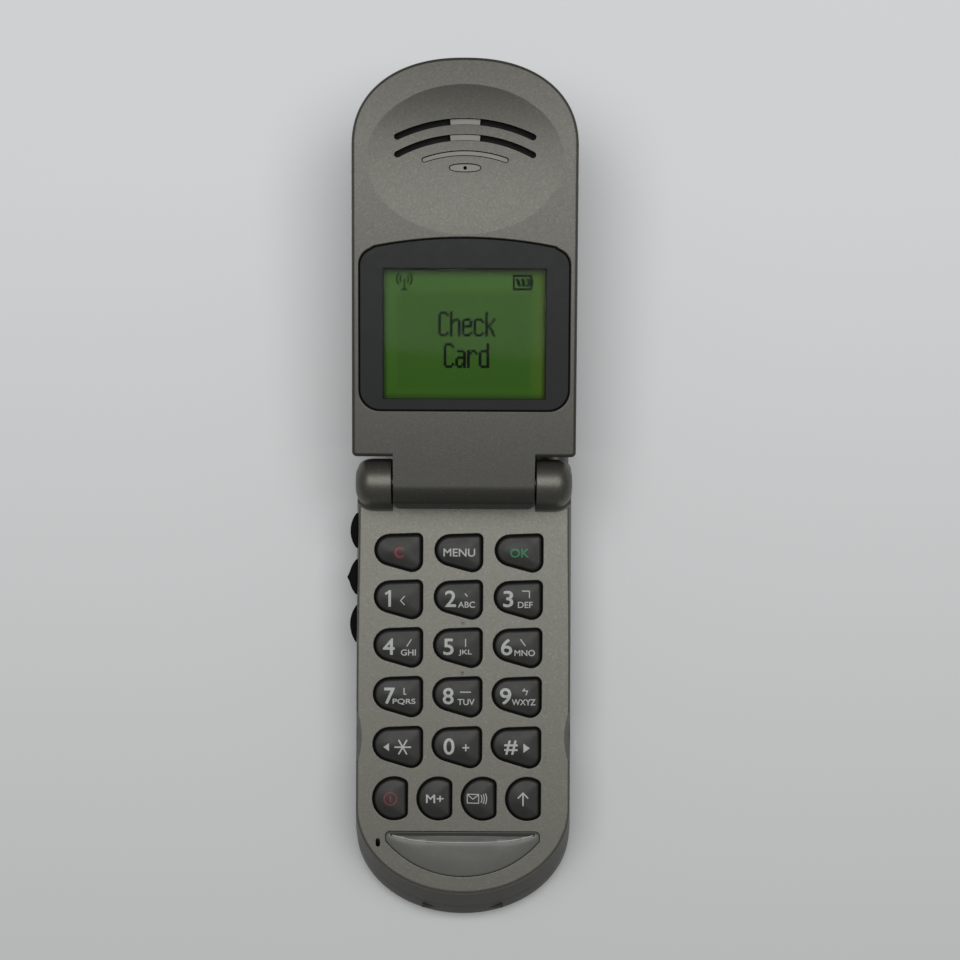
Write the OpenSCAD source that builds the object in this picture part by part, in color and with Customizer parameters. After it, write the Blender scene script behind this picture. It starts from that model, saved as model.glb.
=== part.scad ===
// Folding mobile telephone, open and lying on its back.
// X is across the telephone, +Y runs from the hinge to the tip of the lid, and +Z is up from the table.
// The origin lies on the flat back, straight under the hinge axis. Sizes are in millimetres.

/* [Body] */
// Width of the keypad body
body_w = 42; // [42:0.1:43]
// Hinge axis to the chin edge of the keypad face
face_len = 79.5; // [79.5:0.1:82]
// Hinge axis to the hinge end of the body
head_len = 4.6; // [4.6:0.05:5]
// Table to the keypad face
face_h = 12.5; // [12.3:0.1:14]
// Length of the round chin
chin_curve = 16.5; // [16:0.1:18]
// Reach of the slanted chin wall past the face
chin_reach = 5.9; // [5.5:0.1:7]
// Height at which the slanted chin wall turns under
chin_foot = 3.5; // [3.3:0.1:4]
// Height of the parting line between the two housings
parting_h = 7; // [6.8:0.05:7.2]
// Thickness of the side and end walls
wall = 1.3; // [1:0.05:1.4]
// Thickness of the wall under the keypad face
face_wall = 1.4; // [1.2:0.05:1.5]
// Rounding of the edge round the keypad face
edge_r = 0.8; // [0.5:0.1:1]
// Rounding of the edges round the back
back_r = 2.4; // [1.5:0.1:2.6]
// Depth of the thumb notches in the sides
notch_depth = 1.3; // [0.8:0.1:1.4]
// Length of the thumb notches
notch_len = 12.2; // [10:0.2:14]
// Hinge axis to the middle of the thumb notches
notch_y = 49.2; // [48:0.2:50]

/* [Hinge] */
// Radius of the hinge barrel and of its knuckles
barrel_r = 4.6; // [4.5:0.05:5]
// Width of each knuckle
knuckle_w = 7.3; // [7:0.1:8]
// Rounding of the outer end of each knuckle
knuckle_end_r = 3.2; // [2.5:0.1:3.6]
// Gap between a knuckle and the barrel of the lid
knuckle_gap = 0.3; // [0.2:0.05:0.5]
// Gap between the keypad face and the closed lid
closed_gap = 1; // [1:0.05:1.4]
// Angle through which the lid opens
lid_open = 174; // [150:1:176]
// Radius of the hinge shafts
shaft_r = 1.75; // [1.5:0.05:1.9]
// Radial clearance of the shafts
shaft_fit = 0.05; // [0.02:0.01:0.09]
// Depth of each shaft in its knuckle
shaft_seat = 4.3; // [3.5:0.1:4.6]
// Radius of the hinge cartridge and of the bush
cartridge_r = 3; // [2.6:0.05:3.2]

/* [Lid] */
// How far the lid stands out past each side of the body
lid_overhang = 0.1; // [0:0.05:0.3]
// How far the closed lid stops short of the keypad face's chin edge
lid_short = 0.1; // [0:0.05:0.5]
// Hinge axis to the shoulder of the lid
lid_shoulder = 5.4; // [5.3:0.05:5.8]
// Length of the lid's round tip
lid_curve = 16.4; // [16:0.1:18]
// How much thinner the lid is at its tip
lid_taper = 2.2; // [1.5:0.1:2.4]
// Walls of the lid
lid_wall = 1.2; // [1:0.05:1.3]
// Wall of the lid's inner face round the display
lid_face_wall = 1.6; // [1.5:0.05:1.7]
// Depth of the parting line below the lid's inner face
lid_parting = 4; // [3.8:0.05:4.2]
// Depth of the ear dish
dish_depth = 1.2; // [0.8:0.05:1.25]
// Half width of the ear dish
dish_x = 18.4; // [17:0.2:18.6]
// Half length of the ear dish
dish_y = 13.8; // [13:0.2:14]
// Tip of the lid to the middle of the ear dish
dish_back = 18.6; // [18.4:0.1:18.8]

/* [Display] */
// Frame of the lid beside the display lens
lens_margin = 1.5; // [1.45:0.05:1.8]
// Hinge axis to the near edge of the lens
lens_u0 = 14.2; // [14:0.1:14.4]
// Tip of the lid to the far corners of the lens
lens_back = 35.2; // [35:0.1:35.4]
// Rise of the lens's far edge
lens_rise = 2.1; // [1.8:0.1:2.2]
// Thickness of the lens
lens_t = 0.95; // [0.8:0.05:1]
// Gap round the lens
lens_gap = 0.15; // [0.1:0.01:0.2]
// Printed border of the lens beside the window
border_side = 4.3; // [4:0.1:5]
// Printed border of the lens at the window's near edge
border_near = 2.1; // [2:0.05:2.6]
// Printed border of the lens at the window's far edge, up to the lens's far corners
border_far = 3.45; // [3.2:0.05:4]
// Thickness of the liquid crystal panel
lcd_t = 1.7; // [1.5:0.05:1.8]
// Thickness of the backlight guide
guide_t = 0.9; // [0.7:0.05:1]
// Thickness of the display board
lid_board_t = 0.8; // [0.6:0.05:0.9]

/* [Earpiece] */
// Tip of the lid to the centre that the sound slots curve round
slot_back = 40.7; // [40.4:0.1:40.9]
// Width of each sound slot
slot_w = 1.2; // [0.9:0.05:1.4]
// Radii of the middles of the two sound slots
slot_radii = [29.1, 26.2];
// Half width of the sound slots
slot_x = 12.6; // [11:0.1:12.8]
// Half width of the solid bridge in the sound slots
bridge_x = 2.75; // [2:0.05:3.5]
// Radius of the blind groove below the slots
groove_r = 23.3; // [23:0.1:23.5]
// Half width of the blind groove
groove_x = 7.4; // [6.5:0.1:8]
// Tip of the lid to the lens-shaped recess with the centre hole
eyelet_back = 20.1; // [19.8:0.1:20.2]
// Radius of the earpiece
earpiece_r = 6.5; // [6:0.1:6.6]

/* [Keypad] */
// Hinge axis to the first row of keys
row_first = 13.5; // [13.4:0.05:13.7]
// Last row of keys to the chin edge of the face
low_margin = 18.35; // [18.1:0.05:18.5]
// How much each pitch is longer than the one before
row_growth = 0.22; // [0.2:0.01:0.24]
// Side of the body to the wells of the left column
col_margin = 3.66; // [3.5:0.02:3.8]
// Side of the body to the wells of the right column
col_margin_right = 5.62; // [5.4:0.02:5.8]
// How far the columns draw in from row to row
col_draw = 0.055; // [0:0.005:0.07]
// Width of a key's well in the first row
well_w = 9.4; // [9:0.05:9.6]
// Gap between the wells of the first two rows
row_gap = 1.58; // [1.5:0.02:1.9]
// Growth of the wells' width from row to row
well_w_step = 0.09; // [0.05:0.01:0.1]
// Growth of the wells' length from row to row
well_h_step = 0.15; // [0.1:0.01:0.16]
// Side of the body to the well of the first round key
low_side = 3.47; // [3.35:0.02:3.6]
// Side of the body to the well of the last round key
low_side_right = 5.88; // [5.8:0.02:6.1]
// Width of a round key's well
low_w = 6.9; // [6.7:0.05:7]
// Radius of a round key's well
low_r = 4.23; // [4.1:0.01:4.25]
// Gap between a key and its well
key_gap = 0.3; // [0.2:0.01:0.4]
// Height of the keys above the face
key_rise = 0.7; // [0.5:0.05:0.75]
// Travel of the keys
key_travel = 0.4; // [0.3:0.02:0.42]
// How far a key's flange reaches past its well
flange_reach = 0.1; // [0.08:0.01:0.2]
// Thickness of a key's flange
flange_t = 0.6; // [0.4:0.05:0.65]
// Play between the flange and the face wall
flange_play = 0.1; // [0.05:0.01:0.12]

/* [Badge] */
// Chin edge of the face to the round edge of the chin inlay
badge_margin = 3.3; // [3.2:0.1:3.7]
// Length of the chin inlay
badge_len = 8.6; // [8:0.1:8.7]
// Half width of the chin inlay
badge_x = 14.9; // [14:0.1:15]
// Length of the short ends of the chin inlay
badge_side = 1.7; // [1.5:0.1:2]
// Thickness of the chin inlay
badge_t = 1.4; // [1.2:0.05:1.5]
// Depth of its pocket in the face
badge_seat = 0.9; // [0.7:0.05:0.95]
// Gap round the chin inlay
badge_gap = 0.1; // [0.05:0.01:0.15]

/* [Side buttons] */
// Ends of the three side buttons, measured from the hinge axis
side_button_ends = [[6, 12.7], [15, 21.75], [24, 31]];
// Height of a side button
side_button_h = 3.6; // [3:0.1:3.7]
// How far each side button stands out
side_button_out = [1.1, 1.3, 1.1];
// Reach of the nub on the middle button
nub_out = 0.4; // [0.2:0.05:0.5]
// Travel of the side buttons
side_travel = 0.4; // [0.3:0.02:0.45]
// Gap between a side button and its slot
side_gap = 0.15; // [0.1:0.01:0.2]

/* [Boards] */
// Height of the main board's lower face
board_h = 7.8; // [7.8:0.02:7.9]
// Thickness of the main board
board_t = 0.8; // [0.6:0.05:0.8]
// Thickness of the dome sheet with its domes
dome_t = 0.25; // [0.2:0.01:0.26]
// Thickness of the keypad membrane
membrane_t = 0.4; // [0.3:0.02:0.42]
// Height of the membrane's bosses above it
membrane_boss = 0.2; // [0.1:0.01:0.22]
// Clearance between stacked layers
layer_gap = 0.04; // [0.02:0.01:0.06]

/* [Battery] */
// Chin of the body past the battery bay
bay_chin = 9.2; // [9.1:0.1:11]
// Solid side of the rear housing beside the battery bay
bay_side = 5.35; // [5.3:0.05:6]
// Thickness of the battery pack
battery_t = 3.8; // [3.5:0.05:3.85]
// Clearance round the battery pack
battery_gap = 0.15; // [0.1:0.01:0.3]
// Hinge axis to the near wall of the battery bay
bay_start = 17.2; // [17:0.1:17.4]
// Thickness of the battery cover
cover_t = 1; // [0.9:0.02:1]
// Side of the body to the battery cover
cover_side = 3.8; // [3.7:0.05:4.2]
// Hinge axis to the near edge of the battery cover
cover_start = 15.4; // [15.2:0.05:15.6]
// Gap round the battery cover
cover_gap = 0.15; // [0.1:0.01:0.2]
// Travel of the battery cover
cover_travel = 12; // [8:0.5:14]
// Travel of the battery catch
catch_travel = 1.5; // [1:0.1:1.6]
// Width of the battery catch
catch_w = 9; // [7:0.2:10]

/* [Antenna] */
// Side of the body to the antenna's axis
antenna_side = 3.9; // [3.7:0.02:4]
// Height of the antenna's axis
antenna_h = 5; // [4.9:0.05:5.1]
// Radius of the antenna's collar
collar_r = 3.4; // [3:0.05:3.45]
// Length of the collar past the body
collar_len = 4.6; // [3:0.1:6]
// Radius of the antenna rod
rod_r = 0.6; // [0.5:0.02:0.65]
// Length of the rod inside the telephone
rod_len = 64; // [50:1:66]
// Radius of the antenna stub
stub_r = 2.5; // [2:0.05:2.8]
// Length of the antenna stub
stub_len = 14; // [10:0.5:16]

/* [Small parts] */
// Radius of the headset plug hole
jack_r = 1.25; // [1.2:0.05:1.3]
// Depth of the headset plug hole
jack_len = 11; // [10:0.1:11.4]
// Side of the body to the headset plug hole
jack_side = 4.6; // [4.4:0.05:4.8]
// Radius of the screws' threads
screw_r = 0.8; // [0.6:0.05:0.85]
// Radius of the screws' heads
screw_head_r = 1.5; // [1.3:0.05:1.6]
// Thickness of the screws' heads
screw_head_t = 1; // [0.8:0.05:1.1]
// Radius of the screw bosses
boss_r = 2; // [1.8:0.05:2.1]
// Radius of the ringer
ringer_r = 4.4; // [4:0.1:4.6]
// Thickness of the ringer
ringer_t = 3; // [2.5:0.1:3.4]
// Radius of the vibration motor
motor_r = 1.9; // [1.7:0.05:2]
// Length of the vibration motor
motor_len = 6.5; // [5.5:0.1:6.8]
// Radius of the vibration weight
weight_r = 1.8; // [1.5:0.05:1.9]
// Radius of the microphone
mic_r = 1.9; // [1.7:0.05:2]

/* [Hidden] */
$fn = 48;
cut = 0.5;              // how far a cut runs past a face
skin = 0.01;            // thickness of the slices that a rounded shape is drawn over
arc_steps = 40;         // steps round a chin or a lid tip
corner_steps = 6;       // steps round a small corner

painted = [0.46, 0.45, 0.42];
lid_paint = [0.42, 0.4, 0.38];
key_grey = [0.2, 0.2, 0.19];
button_black = [0.09, 0.1, 0.1];
lens_black = [0.17, 0.18, 0.18];
lcd_green = [0.3, 0.45, 0.15];
board_green = [0.1, 0.35, 0.2];
metal = [0.72, 0.72, 0.7];
gold = [0.8, 0.65, 0.3];
dark = [0.15, 0.15, 0.16];
clear_grey = [0.75, 0.77, 0.78];

key_names = ["key_clear", "key_menu", "key_ok", "key_1", "key_2", "key_3", "key_4", "key_5", "key_6",
    "key_7", "key_8", "key_9", "key_star", "key_0", "key_hash",
    "key_power", "key_memory", "key_message", "key_up"];
side_button_names = ["side_button_upper", "side_button_middle", "side_button_lower"];

// Heights in the body
half_w = body_w / 2;
lid_w = body_w + 2 * lid_overhang;
lid_len = face_len - lid_short;
hinge_h = face_h + closed_gap + barrel_r;
ceiling_h = face_h - face_wall;
dome_h = board_h + board_t + layer_gap;
membrane_h = dome_h + dome_t + layer_gap;
boss_top = membrane_h + membrane_t + membrane_boss;
plunger_h = boss_top + layer_gap + key_travel;
flange_h = ceiling_h - flange_play - flange_t;
roof_h = board_h - 1.35;                   // top of the battery bay's roof, which carries the shields
roof_t = 0.75;
bay_h = cover_t + battery_gap + battery_t + battery_gap;
chin_slope = chin_reach / (face_h - chin_foot);

// Places along the body
knuckle_x = half_w - knuckle_w;            // inner face of a knuckle
barrel_x = knuckle_x - knuckle_gap;        // end of the lid's barrel
foot_len = face_len + chin_reach;          // farthest reach of the chin
cavity_chin = chin_slope * (face_h - ceiling_h);
bay_w = body_w - 2 * bay_side;
bay_len = face_len - bay_start - bay_chin;
battery_w = bay_w - 2 * battery_gap;
battery_len = bay_len - 2 * battery_gap;
cover_w = body_w - 2 * cover_side;
antenna_x = half_w - antenna_side;
jack_x = -half_w + jack_side;
key_count = len(key_names);
grid_count = 15;                           // keys in the rows of three
row_last = grid_count / 3;
low_row = face_len - low_margin;
row_pitch = (low_row - row_first - row_growth * row_last * (row_last - 1) / 2) / row_last;
well_h = row_pitch - row_gap;
col_pitch = (body_w - col_margin - col_margin_right - well_w) / 2;
low_x = -half_w + low_side + low_w / 2;
low_pitch = (body_w - low_side - low_side_right - low_w) / (key_count - grid_count - 1);
badge_end = face_len - badge_margin;
badge_top = badge_end - badge_len;
mic_spot = [-half_w + 6.4, -face_len + 10.9];
mic_slot = [-half_w + 4.2, -face_len + 9, 0.8, 1.6];
screw_spots = [[-9, -5.6], [9, -5.6], [-10.6, -face_len + 5.2], [10.6, -face_len + 5.2]];
screw_seat = 1.2;
screw_len = 7.6;
board_x = half_w - 2.4;
shield_x = half_w - 6;
shield_y = [-19, -40, -43, -face_len + 13.5];
sim_size = [26, 16];
sim_y = -30;
switch_x = 2;                              // width of a side switch
switch_face = -half_w + wall + 0.55 + side_travel + 0.1;
sheet_x = [switch_face + switch_x + 0.15, half_w - 5.2];
sheet_y = [-low_row - low_r - 0.6, -row_first + 4.5];
ringer_y = -9.9;

// Places along the lid, measured from the hinge axis; depth is measured from the lid's inner face
lid_tilt = 180 - lid_open;
dish_u = lid_len - dish_back;
lens_x = lid_w / 2 - lens_margin;
lens_u1 = lid_len - lens_back;
window_x = lens_x - border_side;
window_u0 = lens_u0 + border_near;
window_u1 = lens_u1 - border_far;
slot_centre = lid_len - slot_back;
eyelet_u = lid_len - eyelet_back;
tail_r = barrel_r + closed_gap - 0.32;     // reach of the barrel's tail, clear of the keypad face
taper_angle = atan(lid_taper / (lid_len - lid_shoulder));
dish_wall = 1.6;
lcd_depth = lid_face_wall + layer_gap;
guide_depth = lcd_depth + lcd_t + layer_gap;
lid_board_depth = guide_depth + guide_t + layer_gap;
mesh_depth = dish_depth + dish_wall + layer_gap;
mesh_t = 0.35;
earpiece_t = 2.4;
earpiece_u = lid_len - 15.8;
lid_screw_x = lid_w / 2 - 4.5;
lid_screw_u = [lid_shoulder + 4.8, lens_u1 + 7.4];
lid_screw_spots = [for (u = lid_screw_u) for (s = [-1, 1]) [s * lid_screw_x, u]];
lid_screw_top = 2.4;                       // depth at which the lid's screws end
flex_w = 6;
flex_t = 0.2;
flex_x = 0.6;

// ---- outlines -------------------------------------------------------------------------------

// Points of an arc about c, from angle a0 to angle a1
function arc(c, r, a0, a1, n) =
    [for (i = [0 : n]) let (a = a0 + (a1 - a0) * i / n) [c[0] + r * cos(a), c[1] + r * sin(a)]];

// Half of a superellipse of the given power, from +X through +Y to -X
function round_end(a, b, power, n) =
    [for (i = [0 : n]) let (t = 180 * i / n)
        [a * sign(cos(t)) * pow(abs(cos(t)), 2 / power), b * pow(sin(t), 2 / power)]];

// Outline of a shape with a round end at y1 and a straight end with small corners at y0
function long_outline(half, y0, y1, curve, power, corner) = let (s = sign(y1 - y0)) concat(
    [for (p = round_end(half, curve, power, arc_steps)) [p[0], y1 - s * curve + s * p[1]]],
    arc([-half + corner, y0 + s * corner], corner, 180, 180 + s * 90, corner_steps),
    arc([half - corner, y0 + s * corner], corner, -s * 90, 0, corner_steps));

// Outline of the body at a height, drawn in by inset
function chin_end(z) = -(face_len + chin_slope * (face_h - max(z, chin_foot)));
function body_outline(z, inset, chin_inset) =
    long_outline(half_w - inset, head_len - inset, chin_end(z) + chin_inset, chin_curve - chin_inset, 2,
        max(2.2 - inset, 0.6));

// Outline of the lid, drawn in by inset
function lid_outline(inset) =
    long_outline(lid_w / 2 - inset, lid_shoulder + inset, lid_len - inset, lid_curve - inset, 2.25,
        max(0.9 - inset, 0.3));

// The direction in which the tangent of two circles touches them, on the right of the way from a to b
function touch(a, b) = let (d = [b[0] - a[0], b[1] - a[1]])
    atan2(d[1], d[0]) - 90 + asin((a[2] - b[2]) / norm(d));

// Outline round circles [x, y, r] given counterclockwise, with every radius larger by grow
function round_hull(circles, grow) = let (n = len(circles)) [for (i = [0 : n - 1])
    let (c = circles[i], before = touch(circles[(i + n - 1) % n], c), after = touch(c, circles[(i + 1) % n]),
        sweep = (after - before + 720) % 360)
    each arc(c, c[2] + grow, before, before + sweep, 8)];

// The three circles of a key's well: a large one on the left and two small ones on the right
function key_circles(w, h) = [
    [-w / 2 + 0.4065 * h, 0.066 * h, 0.4065 * h],
    [w / 2 - 0.278 * h, -h / 2 + 0.278 * h, 0.278 * h],
    [w / 2 - 0.15 * h, h / 2 - 0.15 * h, 0.15 * h]];

// A round key's well, cut straight on the right, with small corners
function low_outline(grow) = let (c = -low_w / 2 + low_r, corner = 1.15, x = low_w / 2 - corner - c,
        y = sqrt(pow(low_r - corner, 2) - x * x), a = atan2(y, x)) concat(
    arc([c, 0], low_r + grow, a, 360 - a, 24),
    arc([c + x, -y], corner + grow, -a, 0, corner_steps),
    arc([c + x, y], corner + grow, 0, a, corner_steps));

function row_y(i) = -(row_first + i * row_pitch + i * (i - 1) / 2 * row_growth);
function key_spot(k) = k < grid_count
    ? [-half_w + col_margin + well_w / 2 + (k % 3) * (col_pitch - col_draw * floor(k / 3)),
        row_y(floor(k / 3))]
    : [low_x + low_pitch * (k - grid_count), -low_row];
function key_outline(k, grow) = k < grid_count
    ? round_hull(key_circles(well_w + well_w_step * floor(k / 3), well_h + well_h_step * floor(k / 3)), grow)
    : low_outline(grow);

// The chin inlay: a straight edge with short ends and one arc
function badge_outline(grow) = let (side_y = -(badge_top + badge_side), sag = badge_end - badge_top - badge_side,
        r = (badge_x * badge_x + sag * sag) / (2 * sag), a = asin(badge_x / r),
        c = [0, -badge_end + r]) concat(
    arc(c, r + grow, -90 - a, -90 + a, 28),
    arc([badge_x - 0.9, -badge_top - 0.9], 0.9 + grow, 20, 90, corner_steps),
    arc([-badge_x + 0.9, -badge_top - 0.9], 0.9 + grow, 90, 160, corner_steps));

// A curved slot round the slots' centre, between two half widths
function sound_slot(r, width, x0, x1) = let (a0 = asin(x0 / r), a1 = asin(x1 / r)) concat(
    [for (i = [0 : 14]) let (a = 90 - a0 - (a1 - a0) * i / 14) (r + width / 2) * [cos(a), sin(a)]],
    [for (i = [14 : -1 : 0]) let (a = 90 - a0 - (a1 - a0) * i / 14) (r - width / 2) * [cos(a), sin(a)]]);

// Two arcs that meet in a point at each side
function eye(half, height) = let (r = (half * half + height * height / 4) / height, a = asin(half / r)) concat(
    arc([0, -r + height / 2], r, 90 - a, 90 + a, 10),
    arc([0, r - height / 2], r, 270 - a, 270 + a, 10));

// ---- shared shapes --------------------------------------------------------------------------

module slab(z, h, points) {
    translate([0, 0, z])
        linear_extrude(h)
            polygon(points);
}

module block(x0, x1, y0, y1, z0, z1) {
    translate([x0, y0, z0])
        cube([x1 - x0, y1 - y0, z1 - z0]);
}

module rod_x(x0, x1, y, z, r) {
    translate([x0, y, z])
        rotate([0, 90, 0])
            cylinder(h = x1 - x0, r = r);
}

module rod_y(x, y0, y1, z, r) {
    translate([x, y0, z])
        rotate([-90, 0, 0])
            cylinder(h = y1 - y0, r = r);
}

module rod_z(x, y, z0, z1, r) {
    translate([x, y, z0])
        cylinder(h = z1 - z0, r = r);
}

// Puts what is drawn along a flat lid, with its inner face up, at the open lid's place
module on_lid() {
    translate([0, 0, hinge_h])
        rotate([lid_tilt, 0, 0])
            children();
}

// A layer of the lid between two depths below its inner face
module lid_slab(depth0, depth1, points) {
    slab(barrel_r - depth1, depth1 - depth0, points);
}

module lid_block(x0, x1, u0, u1, depth0, depth1) {
    block(x0, x1, u0, u1, barrel_r - depth1, barrel_r - depth0);
}

// Follows the slope of the lid's outer face
module on_lid_back() {
    translate([0, lid_shoulder, -barrel_r])
        rotate([taper_angle, 0, 0])
            translate([0, -lid_shoulder, 0])
                children();
}

module thumb_notches(z0, z1) {
    r = (notch_len * notch_len / 4 + notch_depth * notch_depth) / (2 * notch_depth);
    for (s = [-1, 1])
        rod_z(s * (half_w - notch_depth + r), -notch_y, z0, z1, r);
}

// ---- body -----------------------------------------------------------------------------------

module front_shell() {
    hull() {
        slab(parting_h, skin, body_outline(parting_h, 0, 0));
        slab(face_h - edge_r, skin, body_outline(face_h - edge_r, 0, 0));
        slab(face_h - edge_r * 0.3, skin, body_outline(face_h, edge_r * 0.3, -0.35));
        slab(face_h - skin, skin, body_outline(face_h, edge_r, 0.1));
    }
}

module knuckle() {
    end_x = half_w - knuckle_end_r;
    turn = concat([[knuckle_x, 0], [half_w, 0], [half_w, barrel_r - knuckle_end_r]],
        arc([end_x, barrel_r - knuckle_end_r], knuckle_end_r, 0, 90, 8), [[knuckle_x, barrel_r]]);
    plan = concat([[knuckle_x, -barrel_r]],
        arc([end_x, -barrel_r + knuckle_end_r], knuckle_end_r, -90, 0, 8),
        arc([end_x, head_len - knuckle_end_r], knuckle_end_r, 0, 90, 8), [[knuckle_x, head_len]]);
    intersection() {
        translate([0, 0, hinge_h])
            rotate([0, 90, 0])
                rotate_extrude()
                    polygon([for (p = turn) [p[1], p[0]]]);
        block(knuckle_x - cut, half_w + cut, -barrel_r - cut, barrel_r + cut, hinge_h, hinge_h + barrel_r + cut);
    }
    slab(ceiling_h, hinge_h - ceiling_h, plan);
}

// Room inside the front housing
module front_room() {
    inner = body_outline(face_h, wall, wall - cavity_chin + 0.1);
    difference() {
        slab(parting_h - cut, ceiling_h - parting_h + cut, inner);
        for (s = [-1, 1])
            block(s > 0 ? half_w - wall - notch_depth - 0.4 : -half_w,
                s > 0 ? half_w : -half_w + wall + notch_depth + 0.4,
                -notch_y - notch_len / 2 - 1, -notch_y + notch_len / 2 + 1, 0, face_h);
        for (p = screw_spots)
            rod_z(p[0], p[1], parting_h, ceiling_h + cut, boss_r);
    }
}

module front_housing() {
    color(painted)
        difference() {
            union() {
                front_shell();
                for (s = [0, 1])
                    mirror([s, 0, 0])
                        knuckle();
            }
            front_room();
            thumb_notches(parting_h - cut, face_h + cut);
            for (k = [0 : key_count - 1])
                translate(key_spot(k))
                    slab(ceiling_h - cut, face_wall + 2 * cut, key_outline(k, 0));
            slab(face_h - badge_seat, badge_seat + cut, badge_outline(badge_gap));
            block(mic_slot[0], mic_slot[0] + mic_slot[2], mic_slot[1], mic_slot[1] + mic_slot[3], ceiling_h - cut,
                face_h + cut);
            for (b = side_button_ends)
                block(-half_w - cut, -half_w + wall + cut, -b[1] - side_gap, -b[0] + side_gap,
                    side_button_z() - side_gap, side_button_z() + side_button_h + side_gap);
            for (s = [-1, 1])
                rod_x(s > 0 ? knuckle_x - cut : -knuckle_x - shaft_seat,
                    s > 0 ? knuckle_x + shaft_seat : -knuckle_x + cut, 0, hinge_h, shaft_r);
            for (p = screw_spots)
                rod_z(p[0], p[1], parting_h - cut, screw_seat + screw_head_t + screw_len, screw_r);
            rod_y(antenna_x, -cut, head_len + cut, antenna_h, collar_r + layer_gap);
            block(-half_w + wall, -half_w + wall + 6, -cut - jack_len + head_len, head_len + cut, parting_h - cut,
                jack_top() + layer_gap);
        }
}

// Room for the parts beside the battery at the hinge end
module head_room() {
    difference() {
        block(-half_w + 7.8, half_w - 7.8, -bay_start + wall, head_len - wall, screw_seat, parting_h + cut);
        for (p = screw_spots)
            rod_z(p[0], p[1], 0, parting_h + cut, boss_r + 0.2);
    }
}

function bay_far() = -bay_start - bay_len;

module rear_housing() {
    color(painted)
        difference() {
            hull() {
                slab(0, skin, body_outline(0, back_r, back_r + 1.2));
                slab(back_r * 0.15, skin, body_outline(0, back_r * 0.47, back_r * 0.47 + 0.5));
                slab(back_r * 0.5, skin, body_outline(0, back_r * 0.13, back_r * 0.13));
                slab(chin_foot, skin, body_outline(0, 0, 0));
                slab(parting_h - skin, skin, body_outline(parting_h, 0, 0));
            }
            block(-bay_w / 2, bay_w / 2, bay_far(), -bay_start, -cut, bay_h);
            slab(roof_h, parting_h - roof_h + cut, body_outline(face_h, wall, wall - cavity_chin + 0.1));
            head_room();
            battery_cover_room();
            rod_y(antenna_x, -rod_len, 0, antenna_h, rod_r + 0.15);
            rod_y(antenna_x, -cut, head_len + cut, antenna_h, collar_r + layer_gap);
            jack_room();
            connector_room();
            block(-10, 10, -bay_start - cut, -bay_start + wall + cut, 2.2, 4.2);
            catch_room();
            sim_room();
            for (p = screw_spots) {
                rod_z(p[0], p[1], -cut, parting_h + cut, screw_r + 0.1);
                rod_z(p[0], p[1], -cut, screw_seat + screw_head_t, screw_head_r + 0.1);
            }
            mic_room();
        }
}

// The recess for the battery cover, with a groove along each side for its tongues
tongue = 0.8;
tongue_t = 0.4;
tongue_h = 0.5;
module battery_cover_room() {
    half = cover_w / 2 + cover_gap;
    block(-half, half, -foot_len - cut, -cover_start + cover_gap, -cut, cover_t + 0.05);
    block(-half - tongue, half + tongue, -foot_len - cut, -cover_start - 4,
        tongue_h - 0.08, tongue_h + tongue_t + 0.08);
}

module battery_cover() {
    half = cover_w / 2;
    color(painted)
        intersection() {
            hull() {
                slab(0, skin, body_outline(0, back_r, back_r + 1.2));
                slab(back_r * 0.15, skin, body_outline(0, back_r * 0.47, back_r * 0.47 + 0.5));
                slab(back_r * 0.5, skin, body_outline(0, back_r * 0.13, back_r * 0.13));
            }
            difference() {
                union() {
                    block(-half, half, -foot_len, -cover_start, 0, cover_t);
                    block(-half - tongue, half + tongue, -foot_len + 14, -cover_start - 4 - cover_gap,
                        tongue_h, tongue_h + tongue_t);
                }
                block(-catch_w / 2 - cover_gap, catch_w / 2 + cover_gap, -cover_start - 1.6, -cover_start + cut,
                    -cut, 0.55);
                for (i = [0 : 4])
                    block(-6, 6, -cover_start - 8 - i * 1.6, -cover_start - 7.2 - i * 1.6, -cut, 0.25);
            }
        }
}

// The catch lies in the hinge end of the back, and its lip holds the battery cover's edge
catch_len = 5;
module catch_room() {
    half = catch_w / 2 + cover_gap;
    block(-half, half, -cover_start - cut, -cover_start + catch_len + catch_travel + 0.3, -cut, 0.95);
}

module battery_catch() {
    color(painted)
        difference() {
            union() {
                block(-catch_w / 2, catch_w / 2, -cover_start + 0.4, -cover_start + catch_len, 0, 0.8);
                block(-catch_w / 2, catch_w / 2, -cover_start - 1.3, -cover_start + 0.4 + cut, 0, 0.45);
            }
            for (i = [0 : 2])
                block(-3, 3, -cover_start + 1.4 + i * 1.1, -cover_start + 1.9 + i * 1.1, -cut, 0.25);
        }
}

module chin_badge() {
    color(clear_grey)
        union() {
            slab(face_h - badge_seat, badge_seat, badge_outline(0));
            slab(face_h - skin, badge_t - badge_seat + skin, badge_outline(-0.35));
        }
}

// ---- keys -----------------------------------------------------------------------------------

module key(k) {
    color(key_grey)
        translate(key_spot(k))
            union() {
                slab(flange_h + flange_t - skin, face_h + key_rise - 0.3 - flange_h - flange_t + skin,
                    key_outline(k, -key_gap));
                slab(face_h + key_rise - 0.3 - skin, 0.3 + skin, key_outline(k, -key_gap - 0.4));
                slab(flange_h, flange_t, key_outline(k, flange_reach));
                rod_z(0, 0, plunger_h, flange_h + skin, 1.2);
            }
}

module keypad_membrane() {
    color(clear_grey)
        union() {
            block(sheet_x[0], sheet_x[1], sheet_y[0], sheet_y[1], membrane_h, membrane_h + membrane_t);
            for (k = [0 : key_count - 1])
                translate(key_spot(k))
                    rod_z(0, 0, membrane_h + membrane_t - skin, boss_top, 1.2);
        }
}

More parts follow.
